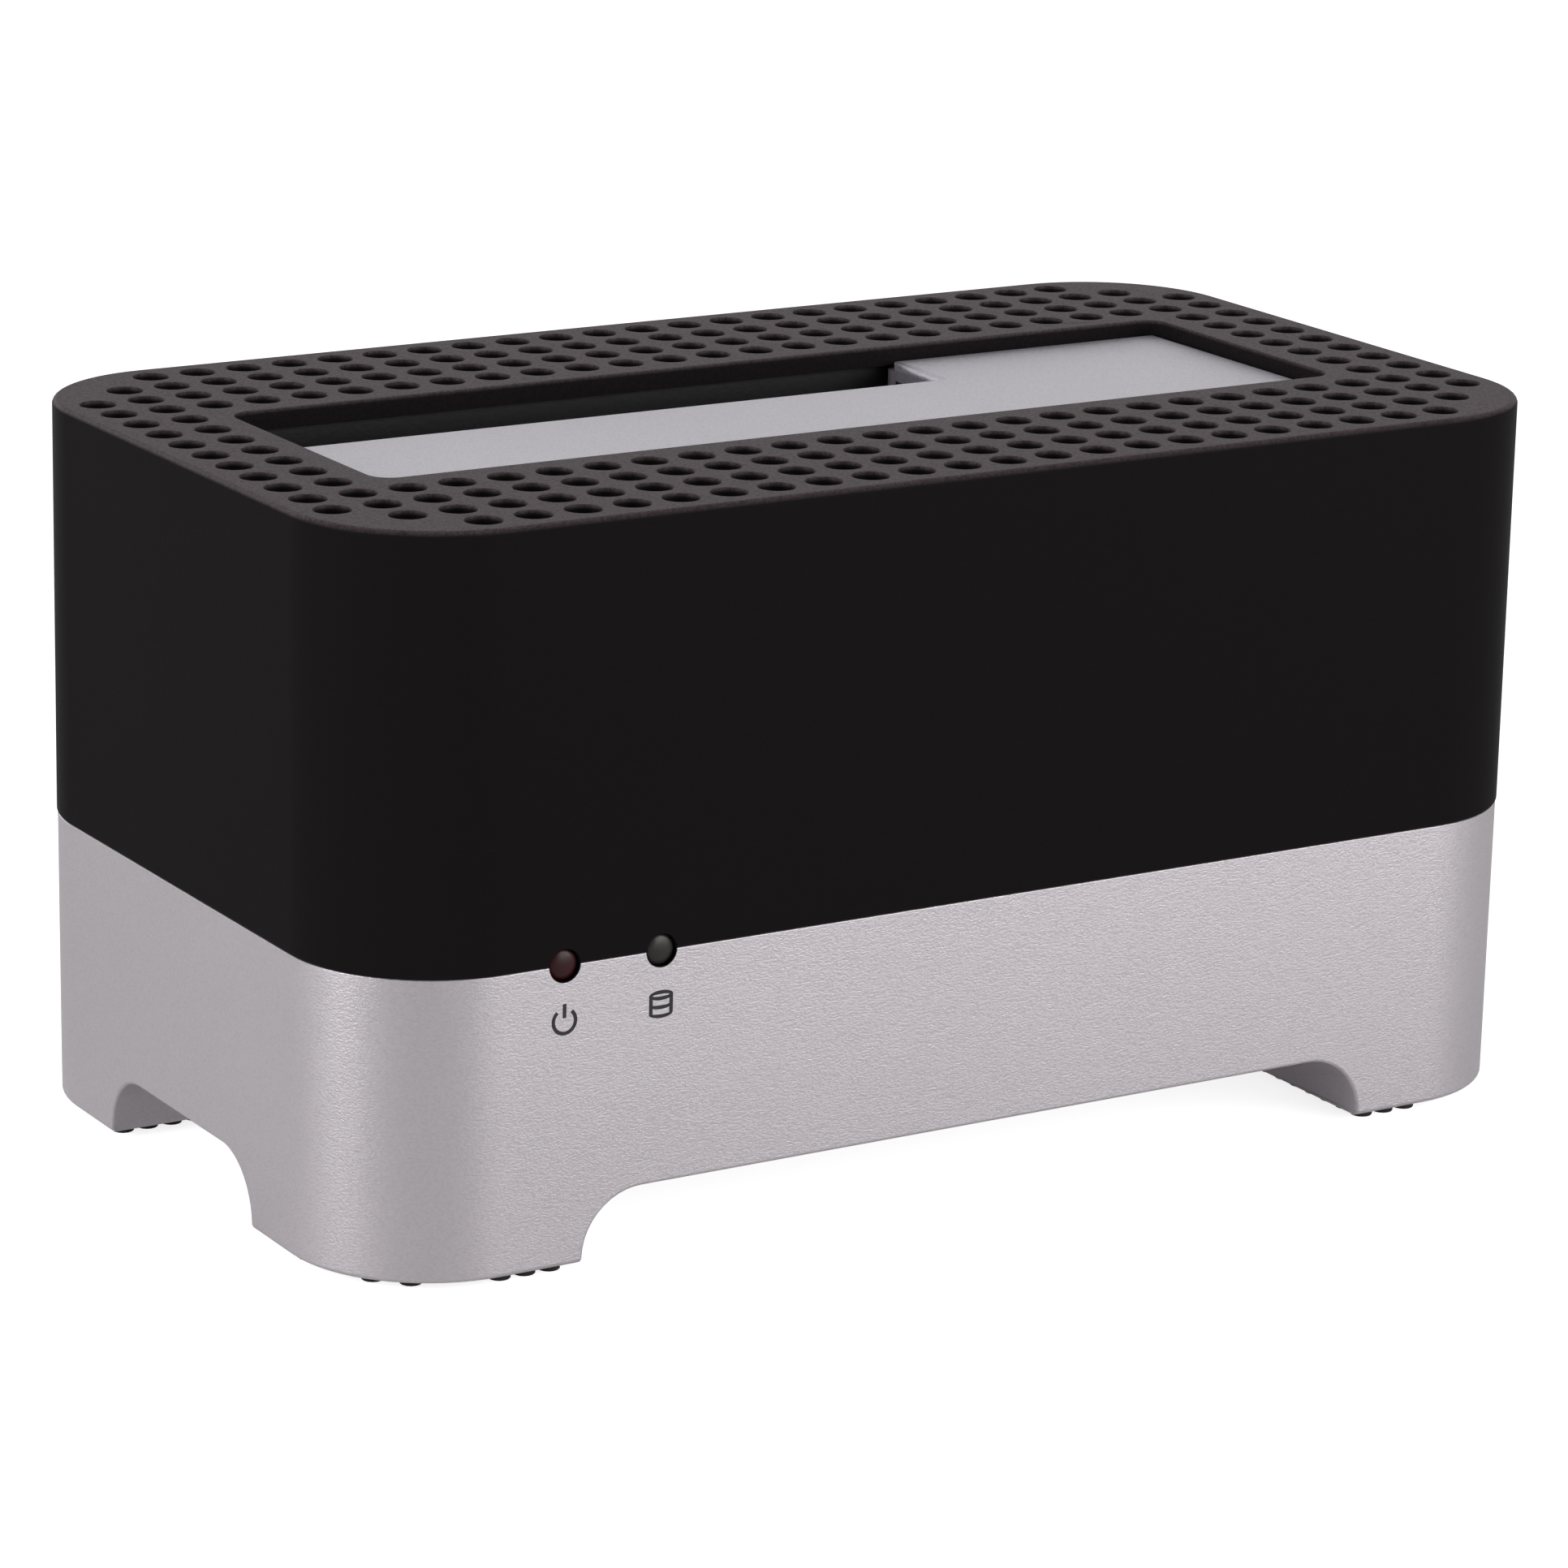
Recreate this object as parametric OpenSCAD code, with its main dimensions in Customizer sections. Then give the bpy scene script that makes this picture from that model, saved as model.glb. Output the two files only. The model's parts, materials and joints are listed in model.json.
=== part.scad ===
// Docking station for one large or one small bare hard drive.
// Millimetres. X runs left to right, Y front to back, Z up.
// The origin is on the table, under the middle of the body.

/* [Body] */
// Length of the cover, left to right
body_l = 130; // [126:1:150]
// Depth of the cover, front to back
body_d = 74; // [70:1:90]
// Radius of the cover's corners, seen from above
corner_r = 14; // [11:0.5:16]
// Height of the cover, from the seam to its top
cover_h = 40; // [36:1:60]
// Height of the base, from the leg ends to the seam
base_h = 28.1; // [27:0.1:34]
// Wall of the cover and of the base
wall = 2; // [1.6:0.1:2.4]
// Thickness of the perforated top
top_t = 2; // [1.6:0.1:2.6]
// Rounding of the cover's upper edge
edge_r = 0.6; // [0.3:0.1:1.2]
// Rounding of the cover's lower edge
seam_r = 0.3; // [0.1:0.05:0.5]
// Step in from the cover to the base at the seam
seam_step = 0.1; // [0.05:0.05:0.3]
// Taper of each side of the base, from the seam to the leg ends
base_taper = 0.1; // [0.05:0.05:0.6]
// Height of the lap between base and cover, above and below the seam
lap_h = 3; // [2:0.5:4]
// Thickness of the lap
lap_t = 1.3; // [1:0.1:1.6]

/* [Vents] */
// Diameter of a vent hole
hole_d = 3.4; // [2.4:0.1:3.8]
// Pitch of the holes along the front
hole_pitch = 4.9; // [4.6:0.1:7]
// Distance from the cover's side to the centres of the outer holes
rim_margin = 3.75; // [3:0.05:5]
// Distance from the drive opening to the centres of the inner holes
opening_margin = 4; // [3:0.1:5]

/* [Legs and feet] */
// Length of a leg along the front
leg_l = 22.2; // [18:0.1:28]
// Depth of a leg along the side
leg_d = 22.2; // [20:0.1:26]
// Height of the arches between the legs
arch_h = 6.3; // [4.5:0.1:8]
// Radius of the arch ends
arch_r = 6; // [3:0.5:7]
// Rounding of the lower outside edge of the legs
leg_edge_r = 0.5; // [0.3:0.1:1.4]
// How far the rubber feet stand below the legs
foot_proud = 0.8; // [0.6:0.1:1.5]
// Depth of the recess that a foot is glued into
foot_recess = 0.8; // [0.5:0.1:1.2]
// Margin from the leg's side to the foot
foot_margin = 1.6; // [1.5:0.1:3]
// Pitch of the bumps under a foot
bump_pitch = 2.6; // [2.2:0.1:4]
// Diameter of a bump where it leaves the foot
bump_d = 1.9; // [1.2:0.1:2.1]

/* [Drive opening] */
// Width of a large drive
drive_w = 101.6; // [100:0.1:102]
// Thickness of a large drive
drive_t = 26.1; // [24:0.1:27]
// Width of a small drive
small_drive_w = 69.85; // [66:0.05:74]
// Thickness of a small drive
small_drive_t = 9.5; // [7:0.5:12.5]
// Room at each end of a large drive
drive_play = 1.45; // [0.6:0.05:1.6]
// Room across the thickness of a drive
thickness_play = 0.3; // [0.2:0.05:0.8]
// Room at each end of a small drive
small_drive_play = 1.2; // [0.5:0.05:1.6]
// Corner radius of the opening
open_r = 2.2; // [1:0.1:3]

/* [Flap] */
// Depth of the flap below the cover's top
flap_drop = 1.4; // [0.8:0.1:2]
// Gap between the flap and the opening
flap_gap = 0.4; // [0.3:0.05:0.6]
// Thickness of the flap's skin
flap_skin = 1.8; // [1.4:0.1:2]
// Rounding of the flap's upper edges
flap_edge_r = 0.8; // [0.3:0.1:1.1]
// Corner radius of the flap
flap_corner_r = 1.6; // [1:0.1:2]
// Radius of the barrel along the flap's front edge
barrel_r = 1.9; // [1.8:0.05:2.1]
// Thickness of the rim and ribs under the flap
rib_t = 1.4; // [1:0.1:2]
// Reach of the flap's stop under the cover's top plate
stop_reach = 0.7; // [0.5:0.1:1]
// Height of the flap's stop
stop_h = 2; // [1.4:0.1:2.2]
// Diameter of the hinge pin
pin_d = 1.4; // [1.2:0.1:1.5]
// Diameter of the spring's wire
wire_d = 0.35; // [0.3:0.01:0.4]
// Clear gap between the turns of the spring
turn_gap = 0.45; // [0.42:0.01:0.6]
// Whole turns of the spring
spring_turns = 5; // [3:1:7]
// Left end of the spring, from the middle
spring_x = 34; // [26:1:38]
// Length of the spring's legs
spring_leg = 7; // [5:0.5:8]

/* [Drive well] */
// Wall and floor of the well
well_wall = 1.8; // [1.4:0.1:2.2]
// Radius of the pillars that the screws pull together
pillar_r = 4.2; // [4.1:0.1:4.6]
// Height of the well's pillars
pillar_h = 14; // [12:1:20]

/* [Board] */
// Gap between the board's ends and the pillars
board_end_gap = 2.85; // [1:0.05:4]
// Gap between the board's front edge and the base's wall
board_front_gap = 2.1; // [1:0.1:3]
// Gap between the board's rear edge and the base's wall
board_rear_gap = 1; // [0.5:0.1:2]
// Thickness of the circuit board
board_t = 1.6; // [1:0.1:2]
// Height of the posts under the board
post_h = 3; // [2.4:0.1:3.4]
// Room between the board and the well
board_room = 4.8; // [4.6:0.1:6]

/* [Drive connector] */
// Length of the connector
sata_l = 38; // [37:0.5:42]
// Width of the connector
sata_w = 5.6; // [5.2:0.1:6.4]
// How far the connector stands above the well's floor
sata_rise = 4; // [2:0.5:5]
// Distance from the left end of the opening to the middle of the connector
sata_from_left = 31.55; // [28:0.05:36]
// Distance from the back of the opening to the middle of the connector
sata_from_back = 4; // [3.6:0.1:5]

/* [Lamps] */
// Diameter of a lamp
lamp_d = 2.9; // [2.6:0.1:3.2]
// Distance from the left side to the power lamp
lamp_from_left = 20; // [17.5:0.5:24]
// Distance from the power lamp to the activity lamp
lamp_pitch = 9.8; // [7:0.1:14]
// Depth of the lamps' tips behind the front
lamp_set_back = 0.5; // [0.3:0.1:1]

/* [Rear ports] */
// Distance from the power inlet to the data port
port_pitch = 24; // [18:1:34]
// Width of the data port
usb_w = 12; // [11.6:0.1:13]
// Height of the data port
usb_h = 11.6; // [11.2:0.1:12.2]
// Gap between the data port or the switch and the drive well
port_gap = 2.35; // [0.5:0.05:4]
// Distance from the board's left end to the power inlet
jack_from_end = 16; // [13:1:24]
// Width of the power inlet
jack_w = 9; // [8.6:0.1:10]
// Height of the power inlet
jack_h = 11; // [10.4:0.1:11.8]
// Gap between the power inlet and the drive well
jack_gap = 4.35; // [0.5:0.05:5]
// Bore of the power inlet
jack_bore = 6.4; // [6:0.1:6.6]
// Diameter of the pin in the power inlet
jack_pin_d = 2.1; // [2:0.1:2.5]
// Distance from the board's right end to the power button
button_from_end = 22; // [14:1:30]
// Diameter of the power button
button_d = 7.5; // [6:0.1:8]
// Travel of the power button
button_travel = 2; // [1.2:0.1:2.5]
// Width and height of the switch behind the button
switch_w = 8.4; // [8:0.1:9.2]
// Gap between the board and the rim of the power button
button_lift = 0.45; // [0.3:0.05:1]

/* [Fits] */
// Clearance of the lap between base and cover
fit_gap = 0.15; // [0.1:0.01:0.2]
// Clearance between pieces that move past each other
free_gap = 0.3; // [0.25:0.01:0.4]
// Radial clearance of the hinge pin in the flap
running_gap = 0.05; // [0.03:0.01:0.08]
// Clearance of pieces that are pressed or screwed home
seat_gap = 0.02; // [0.01:0.01:0.04]
// Radial clearance of a screw in the piece that it clamps
screw_gap = 0.2; // [0.15:0.05:0.3]
// Gap between the well's rim and the cover's top plate
well_gap = 0.1; // [0.05:0.01:0.2]

/* [Screws] */
// Diameter of the screws through the legs
screw_d = 3; // [2.6:0.1:3.2]
// Diameter of their heads
screw_head_d = 5.4; // [5:0.1:5.6]
// Height of their heads
screw_head_h = 2.2; // [1.6:0.1:2.6]
// Depth of the screw heads' seats above the leg ends
screw_seat_h = 5; // [4.5:0.1:6]
// Length of screw held in the well's pillars
screw_grip = 9; // [7:0.5:10]
// Diameter of the board screws
board_screw_d = 2.5; // [2:0.1:2.6]
// Diameter of the board screws' heads
board_head_d = 4.6; // [4:0.1:5]
// Height of the board screws' heads
board_head_h = 1.7; // [1.2:0.1:2]

/* [Hidden] */
$fn = 48;
cut = 1;

// Heights
leg_z = foot_proud;
arch_z = leg_z + arch_h;
floor_z = arch_z + wall;
board_z = floor_z + post_h;
board_top = board_z + board_t;
well_z = board_top + board_room;
well_floor = well_z + well_wall;
seam_z = leg_z + base_h;
top_z = seam_z + cover_h;
plate_z = top_z - top_t;
well_top = plate_z - well_gap;
seat_z = leg_z + screw_seat_h;

// Outlines, as insets from the cover's outline
base_foot_inset = seam_step + base_taper;
base_in = base_foot_inset + wall;
lap_out = wall + fit_gap;
lap_in = lap_out + lap_t;
arch_x = body_l / 2 - leg_l;
arch_y = body_d / 2 - leg_d;

// Drive opening and slot
open_l = drive_w + 2 * drive_play;
open_d = drive_t + thickness_play + flap_gap + 2 * barrel_r;
slot_x = -open_l / 2 + small_drive_w + 2 * small_drive_play;
slot_y = open_d / 2 - small_drive_t - thickness_play;

// Flap and hinge
flap_top = top_z - flap_drop;
flap_x = open_l / 2 - flap_gap;
flap_back = open_d / 2 - flap_gap;
hinge_y = -open_d / 2 + flap_gap + barrel_r;
hinge_z = flap_top - barrel_r;
skin_z = flap_top - flap_skin;
rim_lift = 0.2;
rim_z = hinge_z - barrel_r + rim_lift;
stop_top = plate_z - free_gap;
stop_x = open_l / 2 + stop_reach;
stop_back = open_d / 2 + stop_reach;
stop_start = 6;
stop_front = hinge_y + stop_start;

// Spring
coil_room = 0.1;
coil_r = pin_d / 2 + coil_room + wire_d / 2;
coil_pitch = wire_d + turn_gap;
coil_rings = 8;
coil_sweep = 360 * spring_turns + 90;
coil_end_x = spring_x + coil_pitch * coil_sweep / 360;
pocket_room = 0.15;
pocket_r = coil_r + wire_d / 2 + pocket_room;
pocket_margin = 1;
groove_w = wire_d + free_gap;
spring_rest_h = 2.5;
spring_rest_w = 3;

// Well
well_l = 2 * (stop_x + free_gap);
well_d = 2 * (stop_back + free_gap);
well_rear = well_d / 2 + well_wall;
pillar_x = body_l / 2 - lap_in - free_gap - pillar_r;
pillar_y = body_d / 2 - corner_r;

// Board
board_corner_r = 2;
board_l = 2 * (pillar_x - pillar_r - board_end_gap);
board_rear = body_d / 2 - base_in - board_rear_gap;
board_front = -body_d / 2 + base_in + board_front_gap;
post_inset = 4;
post_front_inset = 11;
post_wall = 1.3;
post_x = board_l / 2 - post_inset;
post_front = board_front + post_front_inset;
post_rear = board_rear - post_inset;
post_r = board_screw_d / 2 + post_wall;
posts = [for (sx = [-1, 1], y = [post_front, post_rear]) [sx * post_x, y]];

// Rear ports
jack_x = -board_l / 2 + jack_from_end;
usb_x = jack_x + port_pitch;
button_x = board_l / 2 - button_from_end;
port_set_back = 0.1;
port_face = body_d / 2 - base_foot_inset - port_set_back;
usb_sheet = 0.4;
usb_len = port_face - well_rear - port_gap;
usb_z = board_top + usb_h / 2;
jack_crown = 1.6;
jack_bore_len = 10.5;
jack_len = port_face - well_rear - jack_gap;
jack_z = board_top + jack_h - jack_bore / 2 - jack_crown;
button_z = board_top + button_lift + button_d / 2;
cap_len = 4;
switch_rear = port_face - cap_len - button_travel - free_gap;
switch_len = switch_rear - well_rear - port_gap;
stem_w = 2.8;
stem_in_switch = 3;

// Connector
sata_x = -open_l / 2 + sata_from_left;
sata_y = open_d / 2 - sata_from_back;
sata_top = well_floor + sata_rise;
contact_pitch = 1.27;
data_contacts = 7;
power_contacts = 15;
slot_end_room = 0.6;
data_slot_l = data_contacts * contact_pitch + slot_end_room;
power_slot_l = power_contacts * contact_pitch + slot_end_room;
slot_split = 2.2;
data_slot_x = sata_x + (power_slot_l + slot_split) / 2;
power_slot_x = sata_x - (data_slot_l + slot_split) / 2;
tongue_w = 1.9;
tongue_depth = 6;

// Lamps
lamp_x = -body_l / 2 + lamp_from_left;
lamps = [lamp_x, lamp_x + lamp_pitch];
lamp_len = 5.1;
lamp_back = -body_d / 2 + lamp_set_back + lamp_len;
lead_w = 0.5;
lead_pitch = 2.54;
lead_bend = 1.4;
lead_y = lamp_back + lead_bend;

// Parts on the board
part_gap = 2;
chip_w = 7;
chip_x = 12;
chip_y = 0;
crystal_x = 26;
crystal_y = 2;
capacitor_d = 6.3;
capacitor_foot_w = 6.6;
capacitor_pitch = 9;
capacitor_y = -well_rear - part_gap - capacitor_foot_w / 2;
inductor_w = 6;
inductor_from_end = 20;
inductor_x = board_l / 2 - inductor_from_end;
inductor_pitch = 10;
inductor_y = board_front + part_gap + inductor_w / 2;
regulator_l = 6.5;
regulator_x = 2;
side_regulator_x = -30;
side_regulator_y = -8;

// Vent pattern
slack = 0.1;
columns = floor((body_l - 2 * rim_margin + slack) / hole_pitch);
column_x = [for (i = [0:columns]) (i - columns / 2) * hole_pitch];
row_out = body_d / 2 - rim_margin;
row_in = open_d / 2 + opening_margin;
row_steps = max(1, round((row_out - row_in) / hole_pitch));
side_steps = round(row_in / hole_pitch);
front_rows = [for (i = [0:row_steps]) row_in + (row_out - row_in) * i / row_steps];
side_rows = [for (i = [1 - side_steps:side_steps - 1]) row_in * i / side_steps];
vents = [
    for (x = column_x, y = front_rows, s = [-1, 1]) if (in_outline(x, y, rim_margin - slack)) [x, s * y],
    for (x = column_x, y = side_rows) if (abs(x) >= open_l / 2 + opening_margin) [x, y]
];

// Whether a point lies inside the cover's outline by a margin
function in_outline(x, y, margin) =
    let (
        ax = abs(x) - body_l / 2 + corner_r,
        ay = abs(y) - body_d / 2 + corner_r,
        reach = corner_r - margin
    )
    ax <= reach && ay <= reach && (ax <= 0 || ay <= 0 || norm([ax, ay]) <= reach);

// The cover's outline, drawn in by an inset
module outline(inset) {
    rounded_rect(body_l - 2 * inset, body_d - 2 * inset, corner_r - inset);
}

module rounded_rect(l, d, r) {
    square([l - 2 * r, d], center = true);
    square([l, d - 2 * r], center = true);
    for (sx = [-1, 1], sy = [-1, 1])
        translate([sx * (l / 2 - r), sy * (d / 2 - r)])
            circle(r);
}

// Block with the cover's plan, swept from a profile drawn outwards from the corner axis
module swept_block(z0, z1) {
    cx = body_l / 2 - corner_r;
    cy = body_d / 2 - corner_r;
    for (q = [[1, 1, 0], [-1, 1, 90], [-1, -1, 180], [1, -1, 270]])
        translate([q.x * cx, q.y * cy, 0])
            rotate(q.z)
                rotate_extrude(angle = 90)
                    children();
    for (turn = [0, 180])
        rotate(turn)
            translate([-cx, cy, 0])
                rotate([90, 0, 90])
                    linear_extrude(2 * cx)
                        children();
    for (turn = [90, 270])
        rotate(turn)
            translate([-cy, cx, 0])
                rotate([90, 0, 90])
                    linear_extrude(2 * cy)
                        children();
    translate([-cx, -cy, z0])
        cube([2 * cx, 2 * cy, z1 - z0]);
}

// Flat stack of an outline between two heights
module slab(z0, z1) {
    translate([0, 0, z0])
        linear_extrude(z1 - z0)
            children();
}

// Rod along Y
module rod_y(d, y0, y1) {
    translate([0, y0, 0])
        rotate([-90, 0, 0])
            cylinder(d = d, h = y1 - y0);
}

// Rod along X
module rod_x(d, x0, x1) {
    translate([x0, 0, 0])
        rotate([0, 90, 0])
            cylinder(d = d, h = x1 - x0);
}

module at_four(x, y) {
    for (sx = [-1, 1], sy = [-1, 1])
        translate([sx * x, sy * y, 0])
            children();
}

// Holes for the lamps, half in the cover and half in the base
module lamp_bores() {
    for (x = lamps)
        translate([x, 0, seam_z])
            rod_y(lamp_d + 2 * running_gap, -body_d / 2 - cut, -body_d / 2 + lap_in + cut);
}

// Snap beads on the lap, grown for the grooves that they click into
module snap_beads(grow) {
    bead_r = 0.5;
    bead_l = 16;
    bead_proud = 0.35;
    bead_z = seam_z + 0.7 * lap_h;
    for (sx = [-1, 1], sy = [-1, 1])
        translate([sx * body_l / 6, sy * (body_d / 2 - lap_out - bead_r + bead_proud), bead_z])
            rod_x(2 * (bead_r + grow), -bead_l / 2 - grow, bead_l / 2 + grow);
}

module cover_profile() {
    translate([0, seam_z + seam_r])
        square([corner_r, cover_h - seam_r - edge_r]);
    translate([0, seam_z])
        square([corner_r - seam_r, seam_r]);
    translate([0, top_z - edge_r])
        square([corner_r - edge_r, edge_r]);
    translate([corner_r - edge_r, top_z - edge_r])
        circle(edge_r);
    translate([corner_r - seam_r, seam_z + seam_r])
        circle(seam_r);
}

module top_cover() {
    color("#1d1c1e")
        difference() {
            swept_block(seam_z, top_z)
                cover_profile();
            slab(seam_z - cut, plate_z)
                outline(wall);
            slab(plate_z - cut, top_z + cut)
                rounded_rect(open_l, open_d, open_r);
            for (v = vents)
                translate([v.x, v.y, plate_z - cut])
                    cylinder(d = hole_d, h = top_t + 2 * cut);
            lamp_bores();
            snap_beads(fit_gap);
        }
}

module base_profile() {
    top_r = corner_r - seam_step;
    foot_r = top_r - base_taper;
    edge_z = leg_z + leg_edge_r;
    polygon([
        [0, leg_z], [foot_r - leg_edge_r, leg_z], [foot_r - leg_edge_r, edge_z],
        [foot_r, edge_z], [top_r, seam_z], [0, seam_z]
    ]);
    translate([foot_r - leg_edge_r, edge_z])
        circle(leg_edge_r);
}

// Tunnel under the base, half as wide as given on each side of the middle
module arch(half_w, length) {
    translate([0, length / 2, 0])
        rotate([90, 0, 0])
            linear_extrude(length) {
                translate([-half_w + arch_r, -cut])
                    square([2 * (half_w - arch_r), arch_z + cut]);
                translate([-half_w, -arch_r - cut])
                    square([2 * half_w, arch_z + cut]);
                for (s = [-1, 1])
                    translate([s * (half_w - arch_r), arch_z - arch_r])
                        circle(arch_r);
            }
}

// Plan of one leg in the right rear corner, drawn in by an inset
module leg_plan(inset) {
    intersection() {
        outline(base_foot_inset + inset);
        translate([arch_x + inset, arch_y + inset])
            square([leg_l, leg_d]);
    }
}

module in_each_leg() {
    for (mx = [0, 1], my = [0, 1])
        mirror([mx, 0, 0])
            mirror([0, my, 0])
                children();
}

module port_cuts() {
    cut_y = body_d / 2 - lap_in - cut;
    cut_len = lap_in + 2 * cut;
    translate([usb_x - usb_w / 2 - free_gap, cut_y, board_top - free_gap])
        cube([usb_w + 2 * free_gap, cut_len, usb_h + 2 * free_gap]);
    translate([jack_x - jack_w / 2 - free_gap, cut_y, board_top - free_gap])
        cube([jack_w + 2 * free_gap, cut_len, jack_h + 2 * free_gap]);
    translate([button_x, 0, button_z])
        rod_y(button_d + 2 * free_gap, cut_y, cut_y + cut_len);
}

module base_shell() {
    color("#b4afb5")
        difference() {
            union() {
                difference() {
                    swept_block(leg_z, seam_z)
                        base_profile();
                    slab(floor_z, seam_z + cut)
                        outline(base_in);
                    in_each_leg()
                        slab(leg_z + foot_recess + wall, floor_z + cut)
                            leg_plan(wall);
                }
                slab(seam_z - lap_h, seam_z + lap_h)
                    difference() {
                        outline(lap_out);
                        outline(lap_in);
                    }
                snap_beads(0);
                at_four(pillar_x, pillar_y)
                    slab(leg_z + foot_recess, well_z)
                        circle(pillar_r);
                for (p = posts)
                    translate([p.x, p.y, 0])
                        slab(leg_z + foot_recess + wall / 2, board_z)
                            circle(post_r);
            }
            arch(arch_x, body_d + 2 * cut);
            rotate(90)
                arch(arch_y, body_l + 2 * cut);
            in_each_leg()
                slab(leg_z - cut, leg_z + foot_recess)
                    leg_plan(foot_margin);
            at_four(pillar_x, pillar_y) {
                slab(leg_z - cut, seat_z)
                    circle(d = screw_head_d + 2 * free_gap);
                slab(seat_z - cut, well_z + cut)
                    circle(d = screw_d + 2 * screw_gap);
            }
            for (p = posts)
                translate([p.x, p.y, 0])
                    slab(floor_z - wall / 4, board_z + cut)
                        circle(d = board_screw_d + 2 * seat_gap);
            lamp_bores();
            port_cuts();
        }
}

// Rubber foot in the right rear leg
module foot() {
    pad_proud = foot_proud / 4;
    pad_z = leg_z - pad_proud;
    bump_margin = foot_margin + base_foot_inset + bump_d / 2;
    bump_taper = 0.55;
    bump_tip_d = bump_d * bump_taper;
    start = [arch_x + foot_margin + bump_pitch / 2, arch_y + foot_margin + bump_pitch / 2];
    color("#171717") {
        slab(pad_z, leg_z + foot_recess)
            leg_plan(foot_margin + free_gap);
        for (i = [0:floor(leg_l / bump_pitch)], j = [0:floor(leg_d / bump_pitch)])
            let (x = start.x + i * bump_pitch, y = start.y + j * bump_pitch)
                if (in_outline(x, y, bump_margin))
                    translate([x, y, 0])
                        cylinder(d1 = bump_tip_d, d2 = bump_d, h = pad_z + pad_proud / 2);
    }
}

module foot_rear_right() {
    foot();
}

module foot_rear_left() {
    mirror([1, 0, 0])
        foot();
}

module foot_front_right() {
    mirror([0, 1, 0])
        foot();
}

module foot_front_left() {
    rotate(180)
        foot();
}

// L-shaped plan of the flap, drawn out or in, with the slot at the left rear
module flap_plan(grow, slot_grow) {
    left = -flap_x - grow;
    right = flap_x + grow;
    back = flap_back + grow;
    slot_r = flap_corner_r;
    difference() {
        translate([left, hinge_y - barrel_r])
            square([right - left, back - hinge_y + barrel_r - flap_corner_r]);
        translate([left - cut, slot_y + slot_grow])
            square([slot_x + slot_grow - left + cut, back]);
    }
    translate([slot_x + slot_grow + flap_corner_r, back - 2 * flap_corner_r])
        square([right - slot_x - slot_grow - 2 * flap_corner_r, 2 * flap_corner_r]);
    for (x = [slot_x + slot_grow + flap_corner_r, right - flap_corner_r])
        translate([x, back - flap_corner_r])
            circle(flap_corner_r);
    difference() {
        translate([slot_x + slot_grow - slot_r, slot_y + slot_grow - cut])
            square([slot_r + cut, slot_r + cut]);
        translate([slot_x + slot_grow - slot_r, slot_y + slot_grow + slot_r])
            circle(slot_r);
    }
}

// Side profile of the flap, from its barrel to a rounded rear edge
module flap_side(back, bottom) {
    circle(barrel_r);
    translate([0, bottom - hinge_z])
        square([back - hinge_y, flap_top - bottom - flap_edge_r]);
    translate([0, flap_top - hinge_z - flap_edge_r])
        square([back - hinge_y - flap_edge_r, flap_edge_r]);
    translate([back - hinge_y - flap_edge_r, flap_top - hinge_z - flap_edge_r])
        circle(flap_edge_r);
}

// End profile of the flap, with its two upper edges rounded
module flap_end(x0, x1) {
    translate([x0, rim_z - cut])
        square([x1 - x0, flap_top - flap_edge_r - rim_z + cut]);
    translate([x0 + flap_edge_r, flap_top - flap_edge_r])
        square([x1 - x0 - 2 * flap_edge_r, flap_edge_r]);
    for (x = [x0 + flap_edge_r, x1 - flap_edge_r])
        translate([x, flap_top - flap_edge_r])
            circle(flap_edge_r);
}

// One arm of the flap's skin, between two ends
module flap_arm(x0, x1, back) {
    intersection() {
        translate([x0, hinge_y, hinge_z])
            rotate([90, 0, 90])
                linear_extrude(x1 - x0)
                    flap_side(back, skin_z);
        translate([0, body_d, 0])
            rotate([90, 0, 0])
                linear_extrude(2 * body_d)
                    flap_end(x0, x1);
    }
}

module flap_skin_plate() {
    flap_arm(-flap_x, flap_x, slot_y);
    flap_arm(slot_x, flap_x, flap_back);
    // Fillet where the slot's two edges meet
    slab(skin_z, flap_top - flap_edge_r)
        intersection() {
            flap_plan(0, 0);
            translate([slot_x - flap_corner_r, slot_y - cut])
                square(flap_corner_r + cut);
        }
}

// Window in the barrel for the spring's coil, and a groove for its upper leg
module spring_pocket() {
    translate([0, hinge_y, hinge_z])
        rod_x(2 * pocket_r, spring_x - pocket_margin, coil_end_x + pocket_margin);
    translate([spring_x - pocket_margin, hinge_y - barrel_r - cut, rim_z - cut])
        cube([coil_end_x - spring_x + 2 * pocket_margin, 2 * barrel_r + cut, hinge_z - rim_z + cut]);
    translate([coil_end_x - groove_w / 2, hinge_y, skin_z - cut])
        cube([groove_w, spring_leg + free_gap, hinge_z + coil_r + wire_d / 2 + seat_gap - skin_z + cut]);
}

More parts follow.
